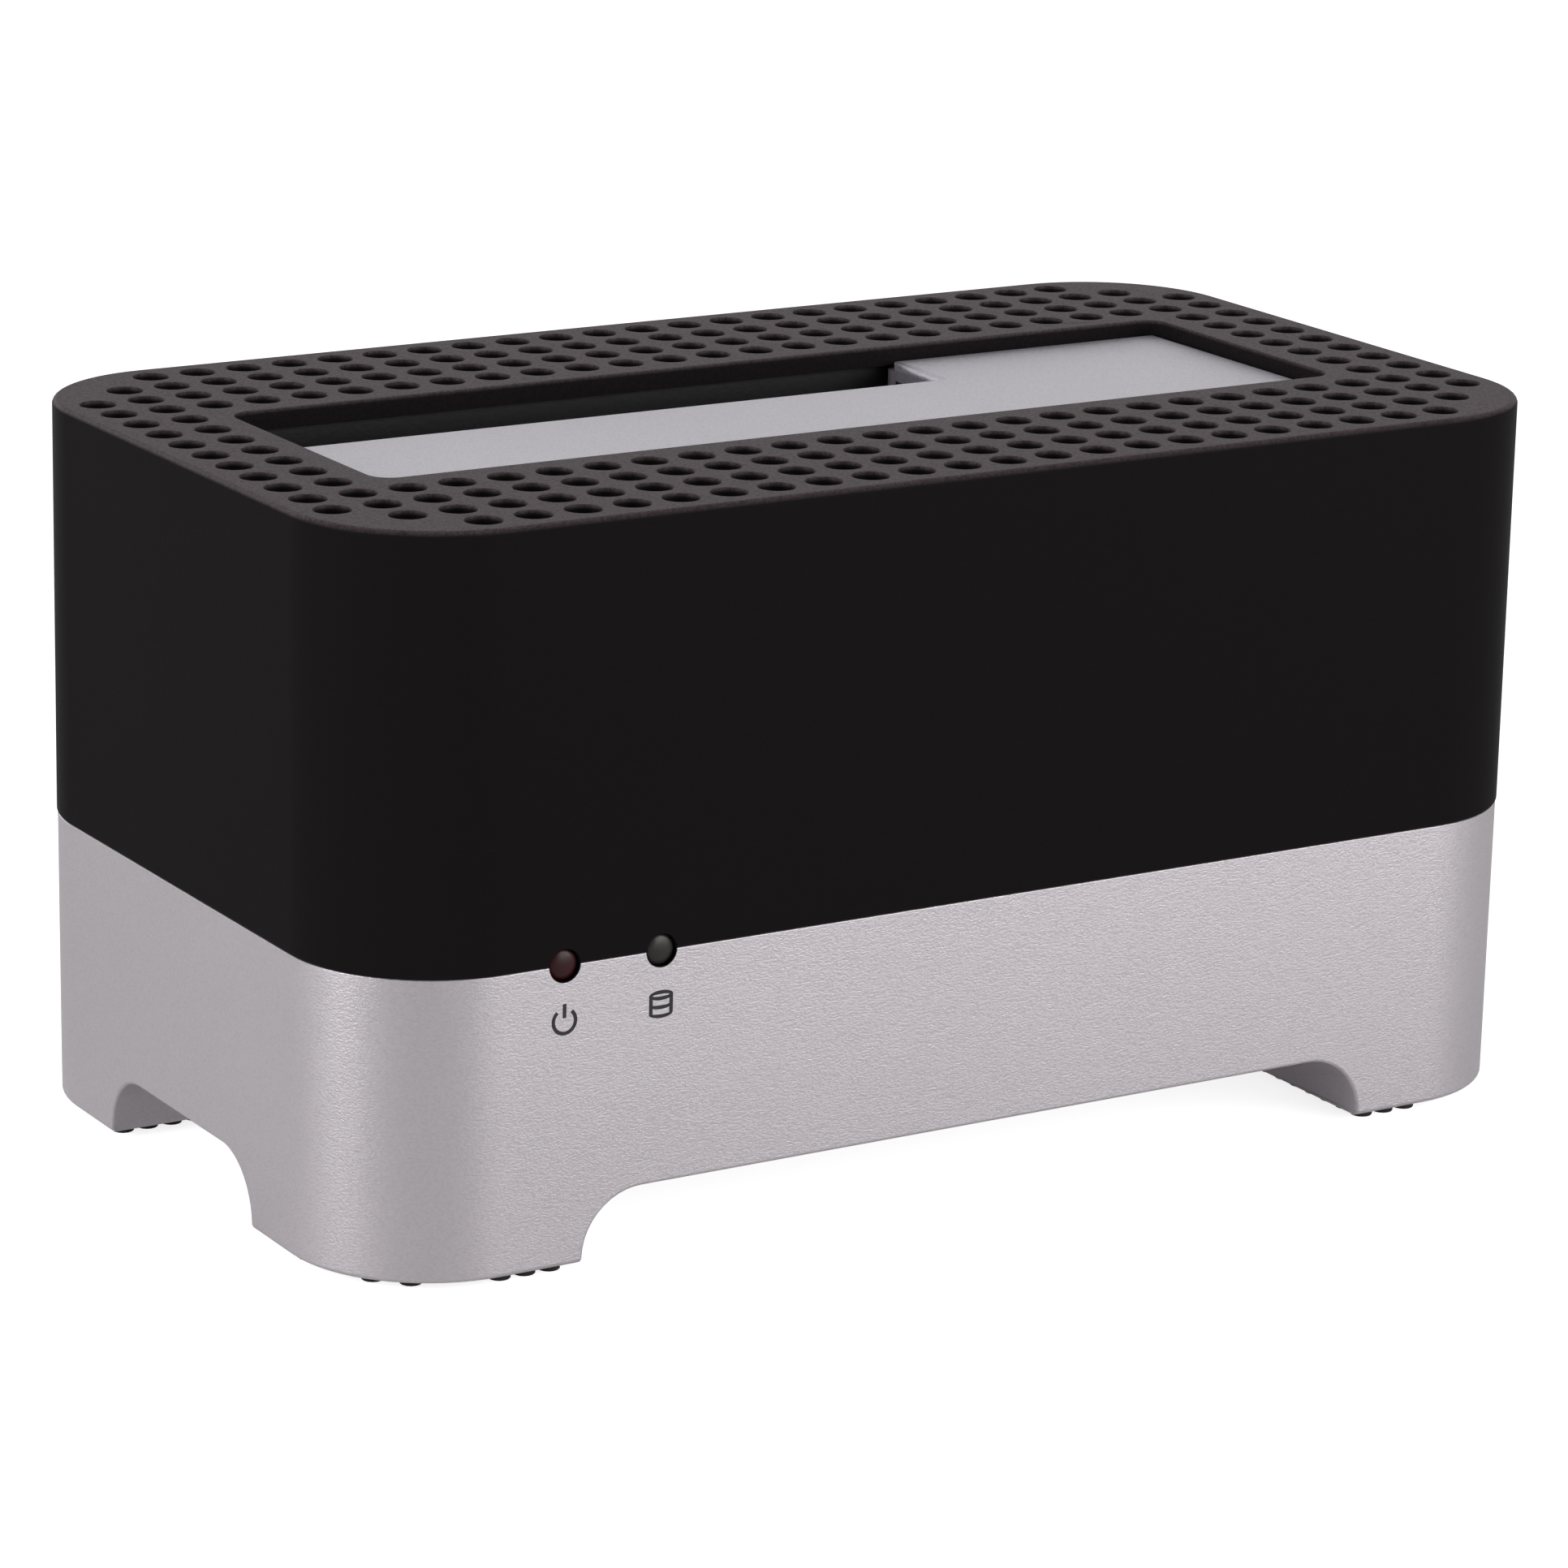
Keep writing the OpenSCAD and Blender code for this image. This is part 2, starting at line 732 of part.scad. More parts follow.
module drive_flap() {
    color("#b3acb6")
        difference() {
            union() {
                intersection() {
                    flap_skin_plate();
                    slab(rim_z - cut, flap_top + cut)
                        flap_plan(0, 0);
                }
                // Rim under the skin
                slab(rim_z, skin_z + cut / 2)
                    difference() {
                        flap_plan(0, 0);
                        flap_plan(-rib_t, -rib_t);
                        translate([-body_l / 2, hinge_y - barrel_r - cut])
                            square([body_l, barrel_r + cut]);
                    }
                // Cross ribs
                for (x = [-2 * flap_x / 3, -flap_x / 3, 0])
                    translate([x - rib_t / 2, hinge_y, rim_z])
                        cube([rib_t, slot_y - hinge_y - rib_t / 2, skin_z - rim_z + cut / 2]);
                // Stop that rests under the cover's top plate
                slab(stop_top - stop_h, stop_top)
                    intersection() {
                        difference() {
                            flap_plan(stop_x - flap_x, 0);
                            flap_plan(-rib_t, -rib_t);
                        }
                        translate([-body_l / 2, stop_front])
                            square([body_l, body_d]);
                    }
            }
            translate([0, hinge_y, hinge_z])
                rod_x(pin_d + 2 * running_gap, -flap_x - cut, flap_x + cut);
            spring_pocket();
        }
}

module flap_hinge_pin() {
    color("#c9cacc")
        translate([0, hinge_y, hinge_z])
            rod_x(pin_d, -well_l / 2 - well_wall, well_l / 2 + well_wall);
}

// Path of the spring: down leg, coil, then the leg under the flap's skin
function spring_path() = concat(
    [for (s = [1, 0.5]) [spring_x, hinge_y - coil_r, hinge_z - spring_leg * s]],
    [
        for (i = [0:coil_rings * coil_sweep / 360])
            let (a = 180 - 360 / coil_rings * i)
                [spring_x + coil_pitch * i / coil_rings, hinge_y + coil_r * cos(a), hinge_z + coil_r * sin(a)]
    ],
    [for (s = [0.5, 1]) [coil_end_x, hinge_y + spring_leg * s, hinge_z + coil_r]]
);

// Least clear gap between points of a tube that are more than half a turn apart
function least_gap(path, d) =
    let (
        apart = coil_rings / 2 + 1,
        last = len(path) - 1
    )
    min([for (i = [0:last - apart], j = [i + apart:last]) norm(path[i] - path[j])]) - d;

function unit(v) = v / norm(v);

// Tube of six sides swept along a path that turns about X
module swept_tube(path, d) {
    sides = 6;
    last = len(path) - 1;
    rings = [
        for (i = [0:last])
            let (
                along = unit(path[min(i + 1, last)] - path[max(i - 1, 0)]),
                out = unit(cross(along, [1, 0, 0])),
                over = cross(along, out)
            )
            for (k = [0:sides - 1])
                path[i] + d / 2 * (cos(360 / sides * k) * out + sin(360 / sides * k) * over)
    ];
    walls = [
        for (i = [0:last - 1], k = [0:sides - 1])
            let (
                a = i * sides + k,
                b = i * sides + (k + 1) % sides
            )
            each [[a, a + sides, b], [b, a + sides, b + sides]]
    ];
    caps = [
        for (k = [1:sides - 2])
            each [[0, k, k + 1], [last * sides, last * sides + k + 1, last * sides + k]]
    ];
    polyhedron(points = rings, faces = concat(walls, caps));
}

module flap_spring() {
    path = spring_path();
    echo(spring_least_gap = least_gap(path, wire_d));
    color("#b9babd")
        swept_tube(path, wire_d);
}

// Straight web between two points of a plan
module web(a, b, thick) {
    along = b - a;
    translate(a)
        rotate(atan2(along.y, along.x))
            translate([0, -thick / 2])
                square([norm(along), thick]);
}

module drive_well() {
    out_l = well_l + 2 * well_wall;
    out_d = well_d + 2 * well_wall;
    in_r = open_r;
    web_x = out_l / 2 - in_r - well_wall;
    rest_x = spring_x - spring_rest_w / 2;
    rest_y = hinge_y - coil_r - wire_d / 2 - seat_gap;
    color("#202022")
        difference() {
            union() {
                difference() {
                    slab(well_z, well_top)
                        rounded_rect(out_l, out_d, in_r + well_wall);
                    slab(well_floor, well_top + cut)
                        rounded_rect(well_l, well_d, in_r);
                }
                // Pillars and the webs that join them to the well
                at_four(pillar_x, pillar_y)
                    slab(well_z, well_z + pillar_h)
                        circle(pillar_r);
                in_each_leg()
                    slab(well_z, well_z + pillar_h) {
                        web([web_x, out_d / 2 - well_wall], [web_x, pillar_y], pillar_r);
                        web([web_x, pillar_y], [pillar_x, pillar_y], pillar_r);
                    }
                // Rib that the spring's lower leg presses on
                translate([rest_x, -well_d / 2 - well_wall / 2, hinge_z - spring_leg])
                    cube([spring_rest_w, rest_y + well_d / 2 + well_wall / 2, spring_rest_h]);
            }
            translate([sata_x - sata_l / 2 - free_gap, sata_y - sata_w / 2 - free_gap, well_z - cut])
                cube([sata_l + 2 * free_gap, sata_w + 2 * free_gap, well_wall + 2 * cut]);
            at_four(pillar_x, pillar_y)
                slab(well_z - cut, well_z + screw_grip + cut)
                    circle(d = screw_d + 2 * seat_gap);
            translate([0, hinge_y, hinge_z])
                rod_x(pin_d + 2 * seat_gap, -body_l, body_l);
        }
}

module main_board() {
    color("#1f5a36")
        difference() {
            translate([0, (board_rear + board_front) / 2, 0])
                slab(board_z, board_top)
                    rounded_rect(board_l, board_rear - board_front, board_corner_r);
            for (p = posts)
                translate([p.x, p.y, board_z - cut])
                    cylinder(d = board_screw_d + 2 * screw_gap, h = board_t + 2 * cut);
            for (x = lamps, s = [-1, 1])
                translate([x + s * lead_pitch / 2, lead_y, board_z - cut])
                    cylinder(d = 2 * lead_w, h = board_t + 2 * cut);
        }
}

// Slot of the drive connector with its key at one end
module keyed_slot(x, length, side) {
    key_l = 1.2;
    key_w = 1.1;
    translate([x - length / 2, sata_y - tongue_w / 2, sata_top - tongue_depth])
        cube([length, tongue_w, tongue_depth + cut]);
    translate([x + side * (length - key_l) / 2 - key_l / 2, sata_y, sata_top - tongue_depth])
        cube([key_l, tongue_w / 2 + key_w, tongue_depth + cut]);
}

module sata_receptacle() {
    ledge_h = 2;
    ledge_out = 2;
    color("#17181a")
        difference() {
            union() {
                translate([sata_x - sata_l / 2, sata_y - sata_w / 2, board_top])
                    cube([sata_l, sata_w, sata_top - board_top]);
                translate([sata_x - sata_l / 2 - ledge_out, sata_y - sata_w / 2, board_top])
                    cube([sata_l + 2 * ledge_out, sata_w, ledge_h]);
            }
            keyed_slot(data_slot_x, data_slot_l, 1);
            keyed_slot(power_slot_x, power_slot_l, -1);
        }
}

// Row of contact strips on the front wall of a slot
module contact_row(x, count) {
    strip_w = 0.6;
    strip_t = 0.3;
    strip_below = 0.8;
    for (i = [0:count - 1])
        translate([
            x + (i - (count - 1) / 2) * contact_pitch - strip_w / 2,
            sata_y - tongue_w / 2,
            sata_top - tongue_depth
        ])
            cube([strip_w, strip_t, tongue_depth - strip_below]);
}

module sata_contacts() {
    color("#c9a24a") {
        contact_row(data_slot_x, data_contacts);
        contact_row(power_slot_x, power_contacts);
    }
}

module usb_port_shell() {
    color("#c4c5c8")
        translate([usb_x - usb_w / 2, port_face - usb_len, board_top])
            difference() {
                cube([usb_w, usb_len, usb_h]);
                translate([usb_sheet, usb_sheet, usb_sheet])
                    cube([usb_w - 2 * usb_sheet, usb_len, usb_h - 2 * usb_sheet]);
            }
}

// Mouth of the data port: a square with two cut corners and a narrower step on top
module usb_mouth() {
    low_w = 8.6;
    low_h = 6.4;
    chamfer = 1.4;
    step_w = 6;
    step_h = 2.6;
    total_h = low_h + step_h;
    translate([0, -total_h / 2]) {
        polygon([
            [-low_w / 2, 0], [low_w / 2, 0], [low_w / 2, low_h - chamfer],
            [low_w / 2 - chamfer, low_h], [-low_w / 2 + chamfer, low_h], [-low_w / 2, low_h - chamfer]
        ]);
        translate([-step_w / 2, low_h - chamfer])
            square([step_w, step_h + chamfer]);
    }
}

module usb_port_insert() {
    mouth_depth = 9;
    set_back = 0.6;
    tongue_l = 8;
    low_tongue = [5.6, 3];
    low_tongue_z = -2.4;
    step_tongue = [4.6, 1];
    step_tongue_z = 2.2;
    block_w = usb_w - 2 * (usb_sheet + seat_gap);
    block_h = usb_h - 2 * (usb_sheet + seat_gap);
    block_l = usb_len - usb_sheet - seat_gap - set_back;
    front = port_face - set_back;
    color("#2c50a8")
        translate([usb_x, front, usb_z]) {
            difference() {
                translate([-block_w / 2, -block_l, -block_h / 2])
                    cube([block_w, block_l, block_h]);
                translate([0, cut, 0])
                    rotate([90, 0, 0])
                        linear_extrude(mouth_depth + cut)
                            usb_mouth();
            }
            translate([-low_tongue.x / 2, -mouth_depth - cut, low_tongue_z])
                cube([low_tongue.x, tongue_l + cut, low_tongue.y]);
            translate([-step_tongue.x / 2, -mouth_depth - cut, step_tongue_z])
                cube([step_tongue.x, tongue_l + cut, step_tongue.y]);
        }
}

module dc_jack_body() {
    collar_d = jack_bore + 2;
    collar_len = 2;
    flange_set_back = 0.7;
    flange_len = 2.8;
    shoulder = 0.8;
    color("#141416")
        difference() {
            union() {
                translate([jack_x - jack_w / 2, port_face - jack_len, board_top])
                    cube([jack_w, jack_len - flange_set_back - flange_len / 2, jack_h - shoulder]);
                translate([jack_x, 0, jack_z])
                    rod_y(collar_d, port_face - collar_len, port_face);
                translate([jack_x - jack_w / 2, port_face - flange_set_back - flange_len, board_top])
                    cube([jack_w, flange_len, jack_h]);
            }
            translate([jack_x, 0, jack_z])
                rod_y(jack_bore, port_face - jack_bore_len, port_face + cut);
        }
}

module dc_jack_pin() {
    pin_set_back = 1.5;
    color("#d0d0d2")
        translate([jack_x, 0, jack_z]) {
            rod_y(jack_pin_d, port_face - jack_bore_len, port_face - pin_set_back - jack_pin_d / 2);
            translate([0, port_face - pin_set_back - jack_pin_d / 2, 0])
                sphere(d = jack_pin_d);
        }
}

module power_switch_body() {
    hole_w = stem_w + 2 * free_gap;
    hole_depth = stem_in_switch + button_travel + free_gap;
    color("#2a2a2c")
        difference() {
            translate([button_x - switch_w / 2, switch_rear - switch_len, board_top])
                cube([switch_w, switch_len, switch_w]);
            translate([button_x - hole_w / 2, switch_rear - hole_depth, button_z - hole_w / 2])
                cube([hole_w, hole_depth + cut, hole_w]);
        }
}

module power_button() {
    crown_r = 0.6;
    color("#1b1b1d")
        translate([button_x, port_face, button_z]) {
            rotate([90, 0, 0])
                rotate_extrude() {
                    translate([0, crown_r])
                        square([button_d / 2, cap_len - crown_r]);
                    square([button_d / 2 - crown_r, crown_r]);
                    translate([button_d / 2 - crown_r, crown_r])
                        intersection() {
                            circle(crown_r);
                            translate([0, -crown_r])
                                square(crown_r);
                        }
                }
            translate([-stem_w / 2, switch_rear - stem_in_switch - port_face, -stem_w / 2])
                cube([stem_w, port_face - cap_len - switch_rear + stem_in_switch + cut, stem_w]);
        }
}

// Lamp with a round tip and a rim at its back
module lamp(x) {
    rim_step = 0.4;
    rim_d = lamp_d + 2 * rim_step;
    rim_l = 1;
    tip = -body_d / 2 + lamp_set_back;
    translate([x, 0, seam_z]) {
        translate([0, tip + lamp_d / 2, 0])
            sphere(d = lamp_d);
        rod_y(lamp_d, tip + lamp_d / 2, lamp_back);
        rod_y(rim_d, lamp_back - rim_l, lamp_back);
    }
}

module power_led() {
    color("#5a1b1f")
        lamp(lamps[0]);
}

module activity_led() {
    color("#8b8d90")
        lamp(lamps[1]);
}

module led_leads() {
    below_board = 1.4;
    color("#bfc0c2")
        for (x = lamps, s = [-1, 1])
            translate([x + s * lead_pitch / 2 - lead_w / 2, 0, 0]) {
                translate([0, lamp_back, seam_z - lead_w / 2])
                    cube([lead_w, lead_y - lamp_back + lead_w / 2, lead_w]);
                translate([0, lead_y - lead_w / 2, board_z - below_board])
                    cube([lead_w, lead_w, seam_z + lead_w / 2 - board_z + below_board]);
            }
}

module bridge_chip() {
    chip_h = 1.4;
    lead_count = 12;
    lead_step = 0.5;
    lead_thick = 0.2;
    lead_reach = 1;
    color("#1a1a1c")
        translate([chip_x, chip_y, board_top]) {
            translate([-chip_w / 2, -chip_w / 2, 0])
                cube([chip_w, chip_w, chip_h]);
            for (turn = [0:90:270], i = [0:lead_count - 1])
                rotate(turn)
                    translate([(i - (lead_count - 1) / 2) * lead_step - lead_thick / 2, chip_w / 2 - cut / 2, 0])
                        cube([lead_thick, lead_reach + cut / 2, lead_thick]);
        }
}

module crystal() {
    can_l = 10.6;
    can_d = 4;
    can_h = 3;
    flange = 0.4;
    end_r = 1.9;
    color("#c8c9cb")
        translate([crystal_x, crystal_y, board_top]) {
            linear_extrude(flange)
                rounded_rect(can_l + 2 * flange, can_d + 2 * flange, end_r + flange);
            linear_extrude(can_h)
                rounded_rect(can_l, can_d, end_r);
        }
}

module filter_capacitors() {
    can_h = 7.7;
    foot_h = 0.9;
    groove_r = 0.35;
    groove_lift = 0.8;
    color("#a9acb3")
        for (place = [-2, -1, 2])
            translate([place * capacitor_pitch, capacitor_y, board_top]) {
                translate([-capacitor_foot_w / 2, -capacitor_foot_w / 2, 0])
                    cube([capacitor_foot_w, capacitor_foot_w, foot_h]);
                difference() {
                    cylinder(d = capacitor_d, h = can_h);
                    translate([0, 0, foot_h + groove_lift])
                        rotate_extrude()
                            translate([capacitor_d / 2, 0])
                                circle(groove_r);
                }
            }
}

module power_inductors() {
    core_h = 3;
    core_r = 1.2;
    ring_depth = 0.3;
    ring_margin = 0.5;
    ring_t = 0.4;
    ring_d = inductor_w - 2 * ring_margin;
    color("#3a3a3d")
        for (place = [0, 1])
            translate([inductor_x + place * inductor_pitch, inductor_y, board_top])
                difference() {
                    linear_extrude(core_h)
                        rounded_rect(inductor_w, inductor_w, core_r);
                    translate([0, 0, core_h - ring_depth])
                        difference() {
                            cylinder(d = ring_d, h = cut);
                            translate([0, 0, -cut])
                                cylinder(d = ring_d - 2 * ring_t, h = 3 * cut);
                        }
                }
}

module regulators() {
    package_w = 3.5;
    package_h = 1.6;
    tab_w = 3;
    lead_w = 0.7;
    lead_reach = 1.55;
    lead_t = 0.3;
    lead_step = 2.3;
    color("#1c1c1e")
        for (p = [[regulator_x, capacitor_y], [side_regulator_x, side_regulator_y]])
            translate([p.x, p.y, board_top]) {
                translate([-regulator_l / 2, -package_w / 2, 0])
                    cube([regulator_l, package_w, package_h]);
                translate([-tab_w / 2, 0, 0])
                    cube([tab_w, package_w / 2 + lead_reach, lead_t]);
                for (i = [-1:1])
                    translate([i * lead_step - lead_w / 2, -package_w / 2 - lead_reach, 0])
                        cube([lead_w, package_w / 2 + lead_reach, lead_t]);
            }
}

module small_parts() {
    part_l = 1.6;
    part_w = 0.8;
    part_h = 0.55;
    per_row = 6;
    step_x = 2.2;
    step_y = 1.6;
    row_drop = 8;
    row_l = (per_row - 1) * step_x + part_l;
    side_row_x = side_regulator_x - regulator_l / 2 - part_gap - row_l;
    color("#7d6a52")
        for (i = [0:per_row - 1], x = [chip_x - chip_w, crystal_x - chip_w, side_row_x])
            translate([x + step_x * i, chip_y - row_drop + (i % 2) * step_y, board_top])
                cube([part_l, part_w, part_h]);
}

module base_screws() {
    color("#bdbec0")
        at_four(pillar_x, pillar_y) {
            slab(seat_z - screw_head_h, seat_z)
                circle(d = screw_head_d);
            slab(seat_z - screw_head_h / 2, well_z + screw_grip)
                circle(d = screw_d);
        }
}

module board_screws() {
    color("#bdbec0")
        for (p = posts)
            translate([p.x, p.y, 0]) {
                slab(board_top, board_top + board_head_h)
                    circle(d = board_head_d);
                slab(floor_z, board_top + board_head_h / 2)
                    circle(d = board_screw_d);
            }
}

top_cover();
drive_flap();
flap_hinge_pin();
flap_spring();
drive_well();
base_shell();
foot_front_left();
foot_front_right();
foot_rear_left();
foot_rear_right();
main_board();
sata_receptacle();
sata_contacts();
usb_port_shell();
usb_port_insert();
dc_jack_body();
dc_jack_pin();
power_switch_body();
power_button();
power_led();
activity_led();
led_leads();
bridge_chip();
crystal();
filter_capacitors();
power_inductors();
regulators();
small_parts();
base_screws();
board_screws();
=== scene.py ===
"""Hard drive docking station: the looks of its pieces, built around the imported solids."""
import json
from math import cos, hypot, pi, radians, sin

import bmesh
import bpy
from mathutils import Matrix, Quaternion, Vector


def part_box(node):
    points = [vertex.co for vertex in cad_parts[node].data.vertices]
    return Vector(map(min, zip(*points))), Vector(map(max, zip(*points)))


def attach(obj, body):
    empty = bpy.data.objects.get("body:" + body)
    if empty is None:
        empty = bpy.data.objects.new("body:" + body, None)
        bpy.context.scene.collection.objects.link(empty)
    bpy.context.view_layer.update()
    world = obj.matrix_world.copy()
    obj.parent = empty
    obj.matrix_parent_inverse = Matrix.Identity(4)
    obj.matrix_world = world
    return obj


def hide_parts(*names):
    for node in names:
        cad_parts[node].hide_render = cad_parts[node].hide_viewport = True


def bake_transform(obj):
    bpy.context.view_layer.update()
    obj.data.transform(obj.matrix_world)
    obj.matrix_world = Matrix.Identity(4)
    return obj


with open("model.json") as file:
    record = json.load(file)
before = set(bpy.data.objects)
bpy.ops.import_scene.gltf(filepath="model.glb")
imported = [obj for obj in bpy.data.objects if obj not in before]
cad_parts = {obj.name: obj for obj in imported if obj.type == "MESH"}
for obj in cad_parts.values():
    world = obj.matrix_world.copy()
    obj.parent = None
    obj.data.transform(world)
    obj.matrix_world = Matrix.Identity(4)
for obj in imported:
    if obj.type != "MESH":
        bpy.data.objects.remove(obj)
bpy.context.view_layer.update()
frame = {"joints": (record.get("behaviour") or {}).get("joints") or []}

bl_info = {
    "name": "Drive dock",
    "version": (1, 0, 0),
    "blender": (4, 5, 0),
    "location": "View3D > Sidebar > Dock",
    "description": "Pieces and finishes of a hard drive docking station",
    "category": "Object",
}

MM = 0.001
COVER_LOW, COVER_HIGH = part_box("top_cover")
BASE_LOW, BASE_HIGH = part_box("base_shell")
SEAM_Z = COVER_LOW.z
COVER_CORNER = 14.0 * MM
PLATE = 2.0 * MM
OPENING = Vector((104.5, 30.6, 0)) * MM
ARCH_HEIGHT = 6.3 * MM
BASE_TAPER = 0.1 * MM
LAMP_HOLE = 3.1 * MM
FINE_EDGE = 0.08 * MM
DOUBLES = 0.001 * MM
SMALL = 0.02 * MM
SHARP = radians(30)
HINGE = Vector(frame["joints"][0]["pos_m"])


def linear(code):
    """Turn a colour such as 1c1b1d, as seen on a screen, into the values that a shader uses"""
    parts = [int(code[place:place + 2], 16) / 255 for place in (0, 2, 4)]
    return [part / 12.92 if part <= 0.04045 else ((part + 0.055) / 1.055) ** 2.4 for part in parts]


def length(name, description, millimetres):
    """A size in the panel"""
    return bpy.props.FloatProperty(
        name=name, description=description, default=millimetres * MM,
        unit="LENGTH", subtype="DISTANCE", precision=5)


def colour(name, description, code):
    """A colour in the panel"""
    return bpy.props.FloatVectorProperty(
        name=name, description=description, default=linear(code), subtype="COLOR", min=0, max=1)


def angle(name, description, degrees):
    """An angle in the panel"""
    return bpy.props.FloatProperty(
        name=name, description=description, default=radians(degrees), unit="ROTATION", subtype="ANGLE")


class DockSizes(bpy.types.PropertyGroup):
    """Sizes of the pieces"""
    rim_round: length("Rim rounding", "Rounding of the rims of the vents and the drive opening", 0.14)
    arch_round: length("Arch rounding", "Rounding of the edges of the arches between the legs", 0.35)
    seam_round: length("Seam rounding", "Rounding of the base's upper edge at the seam", 0.1)
    bump_pitch: length("Bump pitch", "Distance between the bumps of a rubber foot", 2.6)
    bump_width: length("Bump width", "Diameter of a bump of a rubber foot", 2.1)
    foot_lip: length("Foot lip", "How far a foot spreads below the rim of its leg", 0.7)
    bump_height: length("Bump height", "How far the bumps stand out of a rubber foot", 0.65)
    lens_width: length("Lens width", "Diameter of the domed part of a lamp", 2.9)
    symbol_height: length("Symbol height", "Height of the printed symbols", 2.6)
    symbol_drop: length("Symbol drop", "Distance of the symbols below the seam", 5.0)
    symbol_line: length("Symbol line", "Width of the printed lines", 0.36)
    ink_height: length("Ink height", "How far the printed ink stands out", 0.02)
    wire_width: length("Spring wire", "Diameter of the wire of the flap's spring", 0.35)


class DockColours(bpy.types.PropertyGroup):
    """Colours of the finishes"""
    cover_side: colour("Cover side", "Smooth black of the cover's sides", "1c1a1b")
    cover_top: colour("Cover top", "Grained black of the cover's top", "463a3d")
    base: colour("Base", "Silver paint of the base", "cec8cd")
    flap: colour("Flap", "Silver paint of the flap", "bcb7c0")
    well: colour("Well", "Black of the drive well", "0a0a0a")
    rubber: colour("Rubber", "Black rubber of the feet", "161616")
    ink: colour("Ink", "Printed ink of the symbols", "1d1c1e")
    board: colour("Board", "Solder mask of the circuit board", "14502e")
    red_lens: colour("Red lens", "Tinted body of the power lamp", "391113")
    clear_lens: colour("Clear lens", "Clear body of the activity lamp", "3d3a36")
    steel: colour("Steel", "Pin, spring and screws", "b9babd")
    gold: colour("Gold", "Plated contacts", "d9b15a")
    port_blue: colour("Port insert", "Insulator of the data port", "22314a")


class DockStage(bpy.types.PropertyGroup):
    """Camera and light"""
    lens: bpy.props.FloatProperty(
        name="Lens", description="Focal length of the camera", default=133.987, subtype="DISTANCE_CAMERA")
    place: bpy.props.FloatVectorProperty(
        name="Camera place", description="Where the camera stands", default=(-0.28445, -0.46249, 0.18352),
        unit="LENGTH", subtype="TRANSLATION")
    azimuth: angle("Azimuth", "Direction from which the camera looks, from the front", -31.69)
    elevation: angle("Elevation", "Height of the view above the horizon", 14.907)
    roll: angle("Roll", "Turn of the camera about its own axis", 1.245)
    shift: bpy.props.FloatVectorProperty(
        name="Shift", description="Shift of the picture across the film",
        default=(-0.00846, -0.05487), size=2)
    floor: colour("Floor", "Pale floor", "f4f4f4")
    key_power: bpy.props.FloatProperty(
        name="Key", description="Power of the soft box overhead", default=1.6, unit="POWER")
    side_power: bpy.props.FloatProperty(
        name="Side", description="Power of the soft box on the left", default=4.0, unit="POWER")
    front_power: bpy.props.FloatProperty(
        name="Front", description="Power of the soft box at the front right", default=4.5, unit="POWER")
    back_power: bpy.props.FloatProperty(
        name="Back", description="Power of the soft box behind", default=1.5, unit="POWER")
    room: bpy.props.FloatProperty(
        name="Room", description="Strength of the light from the room", default=0.05)


def only(*pieces):
    """Select these objects alone, the last one active"""
    if bpy.context.mode != "OBJECT":
        bpy.ops.object.mode_set(mode="OBJECT")
    bpy.ops.object.select_all(action="DESELECT")
    for piece in pieces:
        piece.select_set(True)
        bpy.context.view_layer.objects.active = piece


def edit(piece, kind="EDGE"):
    """Open a piece in edit mode with nothing selected"""
    only(piece)
    bpy.ops.object.mode_set(mode="EDIT")
    bpy.ops.mesh.select_mode(type=kind)
    bpy.ops.mesh.select_all(action="DESELECT")


def close():
    """Leave edit mode"""
    bpy.ops.object.mode_set(mode="OBJECT")


def pick_edges(piece, wanted):
    """Select the edges of the open piece that a test picks"""
    shape = bmesh.from_edit_mesh(piece.data)
    for edge in shape.edges:
        edge.select_set(bool(wanted(edge)))
    shape.select_flush_mode()
    bmesh.update_edit_mesh(piece.data)


def pick_faces(piece, wanted):
    """Select the faces of the open piece that a test picks"""
    bpy.ops.mesh.select_mode(type="FACE")
    shape = bmesh.from_edit_mesh(piece.data)
    for face in shape.faces:
        face.select_set(bool(wanted(face)))
    shape.select_flush_mode()
    bmesh.update_edit_mesh(piece.data)


def is_sharp(edge):
    """An outward edge between two faces at an angle"""
    return edge.is_manifold and edge.is_convex and edge.calc_face_angle() > SHARP


def is_open(edge):
    """An edge at the rim of an open mesh"""
    return edge.is_boundary


def middle(edge):
    """Middle of an edge"""
    return (edge.verts[0].co + edge.verts[1].co) / 2


def round_edges(piece, wanted, width, steps):
    """Bevel the edges of a piece that a test picks"""
    edit(piece)
    pick_edges(piece, wanted)
    bpy.ops.mesh.bevel(offset=width, segments=steps, profile=0.5, affect="EDGES", clamp_overlap=False)
    close()


def apply_modifier(piece, kind, **settings):
    """Add a modifier to a piece and apply it"""
    only(piece)
    modifier = piece.modifiers.new(kind.title(), kind)
    for name, value in settings.items():
        setattr(modifier, name, value)
    bpy.ops.object.modifier_apply(modifier=modifier.name)


def fused(name, pieces):
    """Closed pieces that overlap, made into one closed piece"""
    whole = pieces[0]
    for other in pieces[1:]:
        apply_modifier(whole, "BOOLEAN", operation="UNION", object=other, solver="EXACT")
        only(other)
        bpy.ops.object.delete()
    whole.name = name
    return whole


